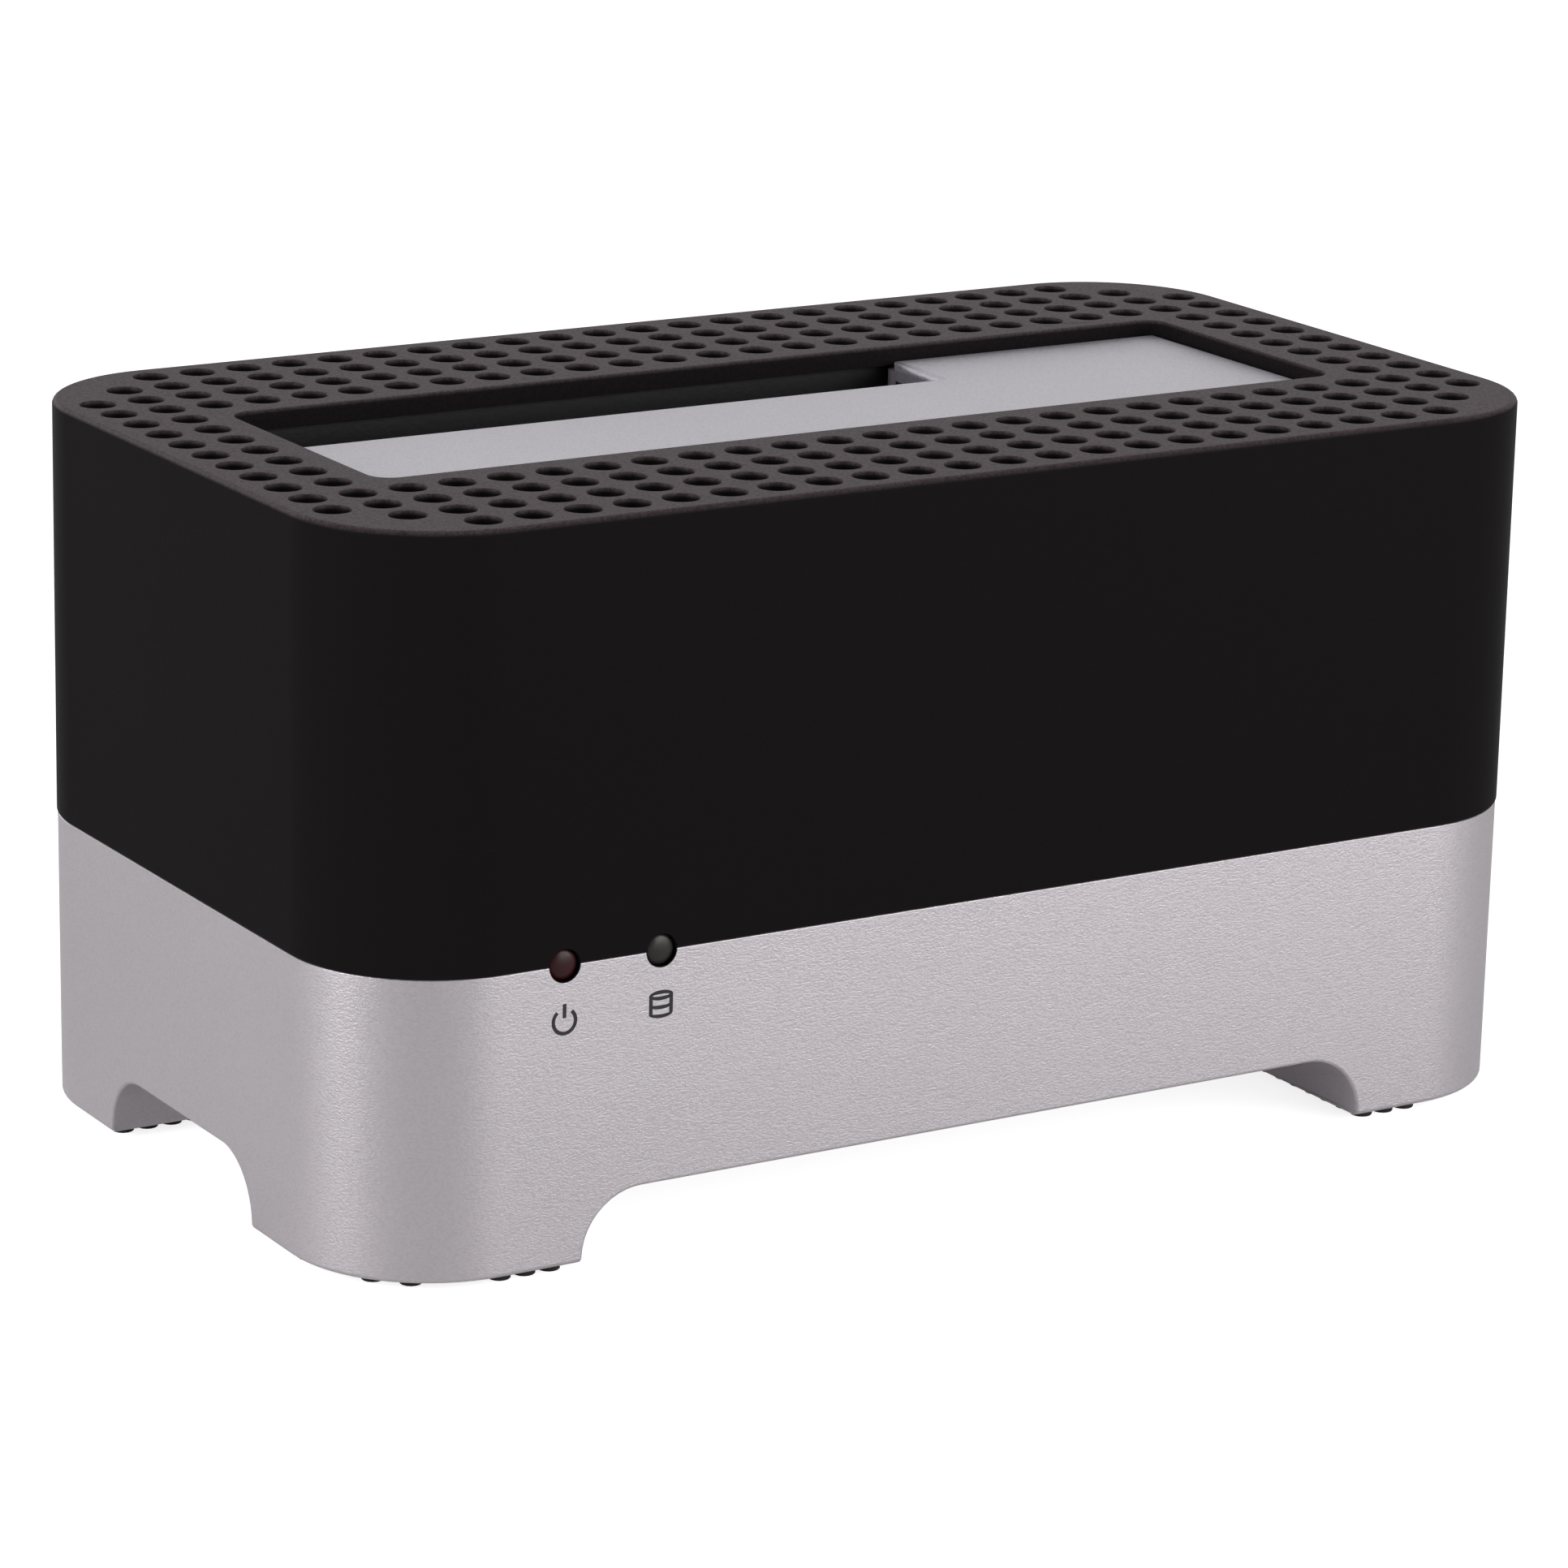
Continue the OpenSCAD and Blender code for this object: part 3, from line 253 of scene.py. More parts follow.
def node_copy(node, name):
    """A closed copy of a solid's mesh, with its flat faces made whole"""
    only(bpy.data.objects[node])
    bpy.ops.object.duplicate()
    piece = bpy.context.view_layer.objects.active
    piece.name = name
    bpy.ops.mesh.customdata_custom_splitnormals_clear()
    edit(piece)
    bpy.ops.mesh.select_all(action="SELECT")
    bpy.ops.mesh.remove_doubles(threshold=DOUBLES)
    bpy.ops.mesh.dissolve_limited(angle_limit=radians(0.1))
    close()
    return piece


def joined(name, pieces):
    """Several objects made into one piece"""
    only(*pieces)
    if len(pieces) > 1:
        bpy.ops.object.join()
    piece = bpy.context.view_layer.objects.active
    piece.name = name
    return piece


def settle(piece):
    """Put a piece's place in its mesh, merge its doubles and turn its faces outwards"""
    only(piece)
    bpy.ops.object.transform_apply(location=True, rotation=True, scale=True)
    edit(piece)
    bpy.ops.mesh.select_all(action="SELECT")
    bpy.ops.mesh.remove_doubles(threshold=DOUBLES)
    bpy.ops.mesh.normals_make_consistent(inside=False)
    close()


def smooth(piece, limit=35):
    """Shade a piece smoothly, with flat faces kept flat"""
    only(piece)
    bpy.ops.object.shade_smooth_by_angle(angle=radians(limit))
    apply_modifier(piece, "WEIGHTED_NORMAL", keep_sharp=True)


def hand_over(piece, body, slot, material, *nodes):
    """Finish a piece: its material, the body that it rides on and the solids that it stands for"""
    piece.data.materials.clear()
    piece.data.materials.append(material)
    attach(piece, body)
    if nodes:
        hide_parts(*nodes)


def dress(material, *nodes):
    """Give solids that stay in view their material"""
    for node in nodes:
        mesh = bpy.data.objects[node].data
        mesh.materials.clear()
        mesh.materials.append(material)


def copies(piece, places):
    """The piece itself and a copy of it moved to each further place"""
    made = [piece]
    for place in places:
        only(piece)
        bpy.ops.object.duplicate(linked=False)
        copy = bpy.context.view_layer.objects.active
        copy.location = copy.location + Vector(place)
        made.append(copy)
    return made


def put(tree, kind, settings=None, **inputs):
    """Add a shader node; an input is a value or the socket that feeds it"""
    node = tree.nodes.new("ShaderNode" + kind)
    for name, value in (settings or {}).items():
        setattr(node, name, value)
    for name, value in inputs.items():
        socket = node.inputs[name.replace("_", " ")]
        feed(tree, socket, value)
    return node


def feed(tree, socket, value):
    """Link a socket or set its value"""
    if isinstance(value, bpy.types.NodeSocket):
        tree.links.new(value, socket)
    else:
        socket.default_value = value


def reckon(tree, operation, first, second=0.0, third=0.0):
    """Add a sum of values"""
    node = tree.nodes.new("ShaderNodeMath")
    node.operation = operation
    for socket, value in zip(node.inputs, (first, second, third)):
        feed(tree, socket, value)
    return node.outputs[0]


def compute(tree, operation, first, second=(0, 0, 0)):
    """Add a sum of vectors"""
    node = tree.nodes.new("ShaderNodeVectorMath")
    node.operation = operation
    feed(tree, node.inputs[0], first)
    feed(tree, node.inputs[1], second)
    return node.outputs["Vector"]


def mixed(tree, factor, first, second):
    """Add a mix of two colours"""
    node = tree.nodes.new("ShaderNodeMix")
    node.data_type = "RGBA"
    feed(tree, node.inputs["Factor"], factor)
    feed(tree, node.inputs[6], first)
    feed(tree, node.inputs[7], second)
    return node.outputs[2]


def spread(tree, value, low, high, to_low=0.0, to_high=1.0):
    """Stretch a range of a value to another range"""
    node = put(tree, "MapRange", {"interpolation_type": "SMOOTHSTEP"}, Value=value,
               From_Min=low, From_Max=high, To_Min=to_low, To_Max=to_high)
    return node.outputs["Result"]


def new_group(name, inputs, outputs):
    """A shader group with its sockets, its tree, and the nodes at its two ends"""
    tree = bpy.data.node_groups.new(name, "ShaderNodeTree")
    for socket, value in inputs.items():
        made = tree.interface.new_socket(socket, in_out="INPUT", socket_type="NodeSocketFloat")
        made.default_value = value
    for socket in outputs:
        tree.interface.new_socket(socket, in_out="OUTPUT", socket_type="NodeSocketFloat")
    start = tree.nodes.new("NodeGroupInput")
    end = tree.nodes.new("NodeGroupOutput")
    return tree, start.outputs, end.inputs


def grain_group():
    """Grain of a moulded surface: soft cells with finer noise in them"""
    inputs = {"Size": 0.6 * MM, "Fine share": 0.4, "Flatten": 1.0}
    tree, given, result = new_group("Moulded grain", inputs, ["Height", "Tone"])
    upright = put(tree, "SeparateXYZ", Vector=put(tree, "TexCoord").outputs["Object"]).outputs
    place = put(tree, "CombineXYZ", X=upright["X"], Y=upright["Y"],
                Z=reckon(tree, "MULTIPLY", upright["Z"], given["Flatten"])).outputs["Vector"]
    scale = reckon(tree, "DIVIDE", 1.0, given["Size"])
    bend = put(tree, "TexNoise", Vector=place, Scale=reckon(tree, "MULTIPLY", scale, 0.5), Detail=2.0)
    shifted = put(tree, "MixRGB", {"blend_type": "LINEAR_LIGHT"}, Fac=0.0004, Color1=place,
                  Color2=bend.outputs["Color"])
    cells = put(tree, "TexVoronoi", {"feature": "SMOOTH_F1"}, Vector=shifted.outputs["Color"], Scale=scale,
                Smoothness=0.6)
    fine = put(tree, "TexNoise", Vector=place, Scale=reckon(tree, "MULTIPLY", scale, 2.2), Detail=3.0)
    rough = reckon(tree, "MULTIPLY", fine.outputs["Fac"], given["Fine share"])
    rest = reckon(tree, "SUBTRACT", 1.0, given["Fine share"])
    domes = reckon(tree, "MULTIPLY", reckon(tree, "SUBTRACT", 1.0, cells.outputs["Distance"]), rest)
    height = reckon(tree, "ADD", domes, rough)
    tree.links.new(height, result["Height"])
    tree.links.new(spread(tree, height, 0.25, 0.75), result["Tone"])
    return tree


def smudge_group():
    """Slow, faint changes of gloss from handling and dust"""
    tree, given, result = new_group("Handling smudge", {"Size": 30 * MM}, ["Value"])
    place = put(tree, "TexCoord").outputs["Object"]
    scale = reckon(tree, "DIVIDE", 1.0, given["Size"])
    cloud = put(tree, "TexNoise", Vector=place, Scale=scale, Detail=5.0, Roughness=0.6)
    tree.links.new(spread(tree, cloud.outputs["Fac"], 0.3, 0.7), result["Value"])
    return tree


def drawn_group():
    """Fine lines along x, as on drawn wire and rolled sheet"""
    tree, given, result = new_group("Drawn lines", {"Size": 0.15 * MM}, ["Height", "Tone"])
    place = put(tree, "TexCoord").outputs["Object"]
    flat = put(tree, "Mapping", Vector=place, Scale=(0.04, 1.0, 1.0))
    scale = reckon(tree, "DIVIDE", 1.0, given["Size"])
    lines = put(tree, "TexNoise", Vector=flat.outputs["Vector"], Scale=scale, Detail=3.0)
    tree.links.new(lines.outputs["Fac"], result["Height"])
    tree.links.new(spread(tree, lines.outputs["Fac"], 0.3, 0.7), result["Tone"])
    return tree


def shared_group(name, maker):
    """The group of this name, built at its first use"""
    return bpy.data.node_groups.get(name) or maker()


def place_group(tree, name, maker, **values):
    """Put a shared group in a material with its own values"""
    node = tree.nodes.new("ShaderNodeGroup")
    node.node_tree = shared_group(name, maker)
    for socket, value in values.items():
        node.inputs[socket.replace("_", " ")].default_value = value
    return node.outputs


def grain(tree, size, fine=0.4, flatten=1.0):
    """The moulded grain at its own size"""
    return place_group(tree, "Moulded grain", grain_group, Size=size, Fine_share=fine, Flatten=flatten)


def smudge(tree, size):
    """The handling smudge at its own size"""
    return place_group(tree, "Handling smudge", smudge_group, Size=size)["Value"]


def drawn(tree, size):
    """The drawn lines at their own size"""
    return place_group(tree, "Drawn lines", drawn_group, Size=size)


def blank(name):
    """A new material with its tree and its Principled shader"""
    material = bpy.data.materials.new(name)
    material.use_nodes = True
    tree = material.node_tree
    return material, tree, tree.nodes["Principled BSDF"]


def shade(rgb, times):
    """A colour made darker or lighter"""
    return tuple(min(1.0, part * times) for part in rgb) + (1.0,)


def set_shader(tree, shader, **inputs):
    """Set or link sockets of the Principled shader"""
    for name, value in inputs.items():
        feed(tree, shader.inputs[name.replace("_", " ")], value)


def bump(tree, height, depth):
    """Normals from a height, with its depth in metres"""
    node = put(tree, "Bump", Height=height, Distance=depth, Strength=1.0)
    return node.outputs["Normal"]


def grained(name, rgb, size, depth, low, high, contrast=0.12, fine=0.4, flatten=1.0, **more):
    """A moulded or painted finish: grain in the tone, the gloss and the relief"""
    material, tree, shader = blank(name)
    pattern = grain(tree, size, fine, flatten)
    cloud = smudge(tree, 30 * MM)
    tone = mixed(tree, pattern["Tone"], shade(rgb, 1 - contrast), shade(rgb, 1 + contrast))
    gloss = reckon(tree, "MULTIPLY_ADD", reckon(tree, "ADD", pattern["Tone"], cloud), (high - low) / 2, low)
    set_shader(tree, shader, Base_Color=tone, Roughness=gloss,
               Normal=bump(tree, pattern["Height"], depth), **more)
    return material


def metal(name, rgb, size, depth, low, high):
    """A drawn or plated metal"""
    material, tree, shader = blank(name)
    lines = drawn(tree, size)
    cloud = smudge(tree, 6 * MM)
    tone = mixed(tree, lines["Tone"], shade(rgb, 0.88), shade(rgb, 1.06))
    gloss = reckon(tree, "MULTIPLY_ADD", cloud, high - low, low)
    set_shader(tree, shader, Base_Color=tone, Metallic=1.0, Roughness=gloss,
               Normal=bump(tree, lines["Height"], depth))
    return material


def cover_finish(colours):
    """Black plastic: coarse grain on the flat top, nearly smooth on the sides"""
    material, tree, shader = blank("Black cover plastic")
    high = COVER_HIGH
    place = put(tree, "TexCoord").outputs["Object"]
    height = put(tree, "SeparateXYZ", Vector=place).outputs["Z"]
    wall_share = 0.12
    sheen = 0.38
    on_plate = spread(tree, height, high.z - 0.5 * MM, high.z - 0.05 * MM)
    near = compute(tree, "ABSOLUTE", place)
    past = put(tree, "SeparateXYZ", Vector=compute(tree, "SUBTRACT", near, OPENING / 2)).outputs
    edge = reckon(tree, "MAXIMUM", past["X"], past["Y"])
    beside = reckon(tree, "LESS_THAN", edge, 0.3 * MM)
    in_plate = reckon(tree, "GREATER_THAN", height, high.z - PLATE - 0.1 * MM)
    in_cut = reckon(tree, "MULTIPLY", reckon(tree, "MULTIPLY", beside, in_plate), wall_share)
    on_top = reckon(tree, "MAXIMUM", on_plate, in_cut)
    pattern = grain(tree, 0.34 * MM, 0.6)
    cloud = smudge(tree, 40 * MM)
    tone = mixed(tree, pattern["Tone"], shade(colours.cover_top, 0.5), shade(colours.cover_top, 1.5))
    base = mixed(tree, on_top, shade(colours.cover_side, 1.0), tone)
    side_gloss = reckon(tree, "MULTIPLY_ADD", cloud, 0.06, 0.36)
    top_gloss = reckon(tree, "MULTIPLY_ADD", pattern["Tone"], -0.12, 0.58)
    gloss = reckon(tree, "MULTIPLY_ADD", on_top, reckon(tree, "SUBTRACT", top_gloss, side_gloss), side_gloss)
    relief = reckon(tree, "MULTIPLY_ADD", on_top, 0.85, 0.15)
    raised = reckon(tree, "MULTIPLY", pattern["Height"], relief)
    set_shader(tree, shader, Base_Color=base, Roughness=gloss, Normal=bump(tree, raised, 0.07 * MM))
    shader.inputs["Specular IOR Level"].default_value = 0.01
    shader.inputs["Coat Roughness"].default_value = 0.5
    feed(tree, shader.inputs["Coat Weight"], reckon(tree, "MULTIPLY", on_plate, sheen))
    return material


def lens_finish(name, rgb, clear):
    """Moulded lens of a lamp, with faint flow marks"""
    material, tree, shader = blank(name)
    marks = smudge(tree, 0.8 * MM)
    gloss = reckon(tree, "MULTIPLY_ADD", marks, 0.1, 0.3)
    tone = mixed(tree, marks, shade(rgb, 0.92), shade(rgb, 1.0))
    set_shader(tree, shader, Base_Color=tone, Roughness=gloss)
    shader.inputs["Transmission Weight"].default_value = clear
    shader.inputs["Specular IOR Level"].default_value = 0.25
    shader.inputs["IOR"].default_value = 1.5
    return material


def board_finish(colours):
    """Solder mask over copper tracks"""
    material, tree, shader = blank("Solder mask")
    place = put(tree, "TexCoord").outputs["Object"]
    tracks = put(tree, "TexVoronoi", {"distance": "MANHATTAN", "feature": "F1"}, Vector=place, Scale=260.0)
    raised = spread(tree, tracks.outputs["Distance"], 0.35, 0.42)
    tone = mixed(tree, raised, shade(colours.board, 1.0), shade(colours.board, 1.5))
    gloss = reckon(tree, "MULTIPLY_ADD", smudge(tree, 15 * MM), 0.12, 0.25)
    set_shader(tree, shader, Base_Color=tone, Roughness=gloss, Normal=bump(tree, raised, 0.02 * MM))
    return material


class DOCK_OT_stage(bpy.types.Operator):
    """Camera, floor and soft studio light"""
    bl_idname = "dock.stage"
    bl_label = "Stage"

    def execute(self, context):
        stage = context.scene.dock_stage
        context.scene.view_settings.view_transform = "Standard"
        self.camera(context, stage)
        self.floor(stage)
        self.lamps(stage)
        self.room(context, stage)
        return {"FINISHED"}

    def camera(self, context, stage):
        only()
        bpy.ops.object.camera_add(location=stage.place)
        camera = context.object
        turn, rise = stage.azimuth, stage.elevation
        back = Vector((sin(turn) * cos(rise), -cos(turn) * cos(rise), sin(rise)))
        aim = back.to_track_quat("Z", "Y") @ Quaternion((0, 0, 1), stage.roll)
        camera.rotation_euler = aim.to_euler()
        camera.data.lens = stage.lens
        camera.data.sensor_width = 36
        camera.data.shift_x, camera.data.shift_y = stage.shift
        context.scene.camera = camera

    def floor(self, stage):
        only()
        bpy.ops.mesh.primitive_plane_add(size=6)
        floor = bpy.context.object
        floor.name = "floor"
        material, tree, shader = blank("Pale floor")
        rgb = tuple(stage.floor) + (1.0,)
        dust = smudge(tree, 200 * MM)
        set_shader(tree, shader, Base_Color=mixed(tree, dust, shade(stage.floor, 0.98), rgb), Roughness=0.9)
        path = put(tree, "LightPath").outputs
        seen = reckon(tree, "MAXIMUM", path["Is Camera Ray"], path["Is Transmission Ray"])
        seen = reckon(tree, "MULTIPLY_ADD", path["Is Glossy Ray"], 0.1, seen)
        glow = put(tree, "Emission", Color=rgb, Strength=0.9)
        sum_up = put(tree, "AddShader")
        tree.links.new(shader.outputs["BSDF"], sum_up.inputs[0])
        tree.links.new(glow.outputs["Emission"], sum_up.inputs[1])
        choice = put(tree, "MixShader", Fac=seen)
        tree.links.new(shader.outputs["BSDF"], choice.inputs[1])
        tree.links.new(sum_up.outputs["Shader"], choice.inputs[2])
        tree.links.new(choice.outputs["Shader"], tree.nodes["Material Output"].inputs["Surface"])
        floor.data.materials.append(material)

    def lamps(self, stage):
        aims = Vector((0, 0, 30 * MM))
        for name, power, place, size in (
                ("key", stage.key_power, (0.1, 0.25, 1.0), (0.9, 0.9)),
                ("side", stage.side_power, (-0.85, 0.015, 0.26), (0.34, 0.5)),
                ("front", stage.front_power, (0.41, -0.74, 0.26), (0.62, 0.5)),
                ("back", stage.back_power, (-0.3, 0.9, 0.35), (0.6, 0.5))):
            only()
            bpy.ops.object.light_add(type="AREA", location=place)
            lamp = bpy.context.object
            lamp.name = name + "_soft_box"
            lamp.data.energy = power
            lamp.data.shape = "RECTANGLE"
            lamp.data.size, lamp.data.size_y = size
            lamp.rotation_euler = (Vector(place) - aims).to_track_quat("Z", "Y").to_euler()

    def room(self, context, stage):
        world = bpy.data.worlds.new("Studio")
        world.use_nodes = True
        context.scene.world = world
        tree = world.node_tree
        path = put(tree, "LightPath").outputs
        shown = reckon(tree, "MAXIMUM", path["Is Camera Ray"], path["Is Transmission Ray"])
        heading = put(tree, "VectorMath", {"operation": "DOT_PRODUCT"})
        feed(tree, heading.inputs[0], put(tree, "TexCoord").outputs["Generated"])
        heading.inputs[1].default_value = (-sin(stage.azimuth), cos(stage.azimuth), 0.0)
        behind = spread(tree, heading.outputs["Value"], 0.2, 0.9, 0.03, 1.0)
        mirrored = reckon(tree, "MULTIPLY", path["Is Glossy Ray"], behind)
        plain = reckon(tree, "MAXIMUM", shown, mirrored)
        seen = reckon(tree, "MAXIMUM", shown, path["Is Glossy Ray"])
        hidden = reckon(tree, "MULTIPLY", reckon(tree, "SUBTRACT", 1.0, seen), stage.room)
        strength = reckon(tree, "ADD", plain, hidden)
        feed(tree, tree.nodes["Background"].inputs["Strength"], strength)
        tree.nodes["Background"].inputs["Color"].default_value = (1, 1, 1, 1)


class DOCK_OT_cover(bpy.types.Operator):
    """Black cover: rounded rims on the vents, the drive opening and the lamp holes"""
    bl_idname = "dock.cover"
    bl_label = "Cover"

    def execute(self, context):
        sizes, colours = context.scene.dock_sizes, context.scene.dock_colours
        low, high = COVER_LOW, COVER_HIGH

        def is_rim(edge):
            flush_top = all(high.z - vert.co.z < SMALL for vert in edge.verts)
            flush_front = all(vert.co.y - low.y < SMALL for vert in edge.verts)
            return is_sharp(edge) and (flush_top or flush_front)

        cover = node_copy("top_cover", "cover_shell")
        round_edges(cover, is_rim, sizes.rim_round, 2)
        smooth(cover)
        hand_over(cover, "dock", "cover_black", cover_finish(colours), "top_cover")
        return {"FINISHED"}


class DOCK_OT_base(bpy.types.Operator):
    """Silver base: rounded edges on the arches, the seam and the holes for the rear fittings, and painted
    shade on the walls of the half holes round the lamps
    """
    bl_idname = "dock.base"
    bl_label = "Base"

    def execute(self, context):
        sizes, colours = context.scene.dock_sizes, context.scene.dock_colours
        low, high = BASE_LOW, BASE_HIGH
        arch_top = low.z + ARCH_HEIGHT
        reach = 0.5 * MM
        rear_reach = 0.2 * MM

        def is_arch(edge):
            ends = [vert.co for vert in edge.verts]
            below = all(end.z < arch_top + SMALL for end in ends)
            outer = any(max(abs(end.x) - high.x, abs(end.y) - high.y) > -reach for end in ends)
            return is_sharp(edge) and below and outer and max(end.z for end in ends) > low.z + SMALL

        def is_seam(edge):
            return is_sharp(edge) and all(abs(vert.co.z - SEAM_Z) < SMALL for vert in edge.verts)

        def is_rear_rim(edge):
            ends = [vert.co for vert in edge.verts]
            at_rear = all(high.y - end.y < rear_reach for end in ends)
            between = all(arch_top < end.z < SEAM_Z - MM for end in ends)
            return is_sharp(edge) and at_rear and between

        base = node_copy("base_shell", "base_body")
        round_edges(base, is_arch, sizes.arch_round, 3)
        round_edges(base, is_seam, sizes.seam_round, 3)
        round_edges(base, is_rear_rim, sizes.rim_round, 2)
        smooth(base)
        finish = grained("Silver paint", colours.base, 0.31 * MM, 0.032 * MM, 0.38, 0.46, 0.05, 0.35, 1.7,
                         Metallic=0.7)
        # Painted shade: the walls of the half holes round the lamps are painted near black
        self.paint_lamp_hole_shade(finish)
        hand_over(base, "dock", "base_silver", finish, "base_shell")
        return {"FINISHED"}

    def paint_lamp_hole_shade(self, finish):
        """Painted shade: near-black colour on the walls of the two half holes round the lamps, standing in
        for the shade in these recesses
        """
        # Near-black colour painted on the lamp hole walls as shade
        painted_hole_shade = (0.006, 0.005, 0.005, 1.0)
        hole_reach = LAMP_HOLE / 2 + 0.04 * MM
        tree = finish.node_tree
        socket = tree.nodes["Principled BSDF"].inputs["Base Color"]
        paint = socket.links[0].from_socket
        place = put(tree, "TexCoord").outputs["Object"]
        in_front = reckon(tree, "LESS_THAN", put(tree, "SeparateXYZ", Vector=place).outputs["Y"], 0.0)
        for node in ("power_led", "activity_led"):
            low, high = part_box(node)
            axis = (low + high) / 2
            offset = compute(tree, "MULTIPLY", compute(tree, "SUBTRACT", place, axis), (1, 0, 1))
            away = put(tree, "VectorMath", {"operation": "LENGTH"}, Vector=offset).outputs["Value"]
            # Mask of the front lamp hole walls that get the painted shade
            hole_shade_mask = reckon(tree, "LESS_THAN", away, hole_reach)
            hole_shade_mask = reckon(tree, "MULTIPLY", hole_shade_mask, in_front)
            paint = mixed(tree, hole_shade_mask, paint, painted_hole_shade)
        tree.links.new(paint, socket)


class DOCK_OT_flap(bpy.types.Operator):
    """Silver flap with its finer grain"""
    bl_idname = "dock.flap"
    bl_label = "Flap"

    def execute(self, context):
        colours = context.scene.dock_colours
        finish = grained("Silver flap paint", colours.flap, 0.26 * MM, 0.045 * MM, 0.34, 0.42, 0.12, 0.5,
                         Metallic=0.75)
        flap = node_copy("drive_flap", "flap_lid")
        smooth(flap)
        hand_over(flap, "flap", "flap_silver", finish, "drive_flap")
        return {"FINISHED"}


class DOCK_OT_spring(bpy.types.Operator):
    """Torsion spring of the flap: a round wire wound from its lower leg to its upper leg"""
    bl_idname = "dock.spring"
    bl_label = "Flap spring"

    def execute(self, context):
        sizes, colours = context.scene.dock_sizes, context.scene.dock_colours
        low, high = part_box("flap_spring")
        wire = sizes.wire_width
        side = wire / 2 * sin(radians(60))
        start, end = low.x + side, high.x - side
        turns = 5.25
        coil = HINGE.y - low.y - wire / 2
        leg_down = HINGE.z - low.z
        leg_out = high.y - HINGE.y
        only()
        bpy.ops.mesh.primitive_circle_add(vertices=12, radius=wire / 2,
                                          location=(start, HINGE.y - coil, HINGE.z))
        spring = context.object
        spring.name = "spring_wire"
        bpy.ops.object.transform_apply()
        context.scene.cursor.location = HINGE
        bpy.ops.object.origin_set(type="ORIGIN_CURSOR")
        context.scene.cursor.location = (0, 0, 0)
        apply_modifier(spring, "SCREW", axis="X", angle=-2 * pi * turns, screw_offset=end - start,
                       steps=126, render_steps=126, use_merge_vertices=False)
        bpy.ops.object.transform_apply()
        for at_start, move in ((True, (0, 0, -leg_down)), (False, (0, leg_out, 0))):
            edit(spring)
            pick_edges(spring, lambda edge: is_open(edge) and (middle(edge).x < start + wire) == at_start)
            bpy.ops.mesh.extrude_region_move(TRANSFORM_OT_translate={"value": move})
            bpy.ops.mesh.edge_face_add()
            close()
        settle(spring)
        only(spring)
        bpy.ops.object.shade_smooth_by_angle(angle=SHARP)
        spring.data.materials.append(metal("Spring steel", colours.steel, 0.1 * MM, 0.01 * MM, 0.22, 0.38))
        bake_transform(spring)
        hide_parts("flap_spring")
        return {"FINISHED"}


class DOCK_OT_feet(bpy.types.Operator):
    """Rubber feet: a pad with a lip below the leg's rim, a rounded outer corner and rows of bumps"""
    bl_idname = "dock.feet"
    bl_label = "Feet"

    def execute(self, context):
        sizes, colours = context.scene.dock_sizes, context.scene.dock_colours
        rubber = grained("Foot rubber", colours.rubber, 0.25 * MM, 0.02 * MM, 0.5, 0.62, 0.15, 0.7)
        for node in ("foot_front_left", "foot_front_right", "foot_rear_left", "foot_rear_right"):
            self.foot(node, sizes, rubber)
        return {"FINISHED"}

    def foot(self, node, sizes, rubber):
        low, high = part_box(node)
        centre = (low + high) / 2
        size = high - low
        out = Vector((1 if centre.x > 0 else -1, 1 if centre.y > 0 else -1, 0))
        corner = COVER_CORNER - (COVER_HIGH.x - max(abs(low.x), abs(high.x)))
        lip_low = low.z + sizes.bump_height
        root = 0.05 * MM
        pad = self.slab(centre, out, size, BASE_LOW.z - root, high.z, corner)
        size += Vector((2, 2, 0)) * sizes.foot_lip
        corner += sizes.foot_lip
        lip = self.slab(centre, out, size, lip_low, BASE_LOW.z - SMALL, corner)
        inner = Vector((centre.x - out.x * size.x / 2, centre.y - out.y * size.y / 2, 0))
        first = sizes.bump_width / 2
        span = size.x - 2 * first
        gaps = round(span / sizes.bump_pitch)
        seed = self.bump(inner + out * first, lip_low + root, low.z, sizes)
        steps = [Vector((out.x * row, out.y * line, 0)) * span / gaps
                 for row in range(gaps + 1) for line in range(gaps + 1) if row or line]
        kept = [step for step in steps if self.on_pad(step, first, size, corner, sizes)]
        bumps = copies(seed, kept)
        foot = joined(node.replace("foot", "rubber_foot"), bumps + [lip, pad])
        only(foot)
        bpy.ops.object.transform_apply()
        smooth(foot, 50)
        hand_over(foot, "dock", "foot_rubber", rubber, node)

    def slab(self, centre, out, size, bottom, top, corner):
        """A slab with its outer corner widely rounded and its other corners a little"""
        only()
        bpy.ops.mesh.primitive_cube_add(size=1, location=(centre.x, centre.y, (bottom + top) / 2))
        slab = bpy.context.object
        slab.scale = (size.x, size.y, top - bottom)
        settle(slab)
        round_edges(slab, lambda edge: self.upright(edge)
                    and (middle(edge) - centre).dot(out) > size.x * 0.9, corner, 16)
        round_edges(slab, lambda edge: self.upright(edge)
                    and (middle(edge) - centre).dot(out) < size.x * 0.1
                    and is_sharp(edge), 1.0 * MM, 4)
        return slab

    def upright(self, edge):
        return abs(edge.verts[0].co.z - edge.verts[1].co.z) > 0.1 * MM

    def on_pad(self, step, first, size, corner, sizes):
        """Whether a bump lies wholly inside the rounded outline"""
        x, y = abs(step.x) + first, abs(step.y) + first
        margin = sizes.bump_width / 2 - SMALL
        past_x, past_y = x - (size.x - corner), y - (size.y - corner)
        if past_x > 0 and past_y > 0:
            return hypot(past_x, past_y) < corner - margin
        return max(past_x, past_y) < corner - margin

    def bump(self, place, top, low, sizes):
        only()
        tall = top - low
        bpy.ops.mesh.primitive_cylinder_add(vertices=14, radius=sizes.bump_width / 2, depth=tall,
                                            location=(place.x, place.y, low + tall / 2))
        bump = bpy.context.object
        round_edges(bump, lambda edge: is_sharp(edge) and middle(edge).z < 0, 0.12 * MM, 3)
        return bump


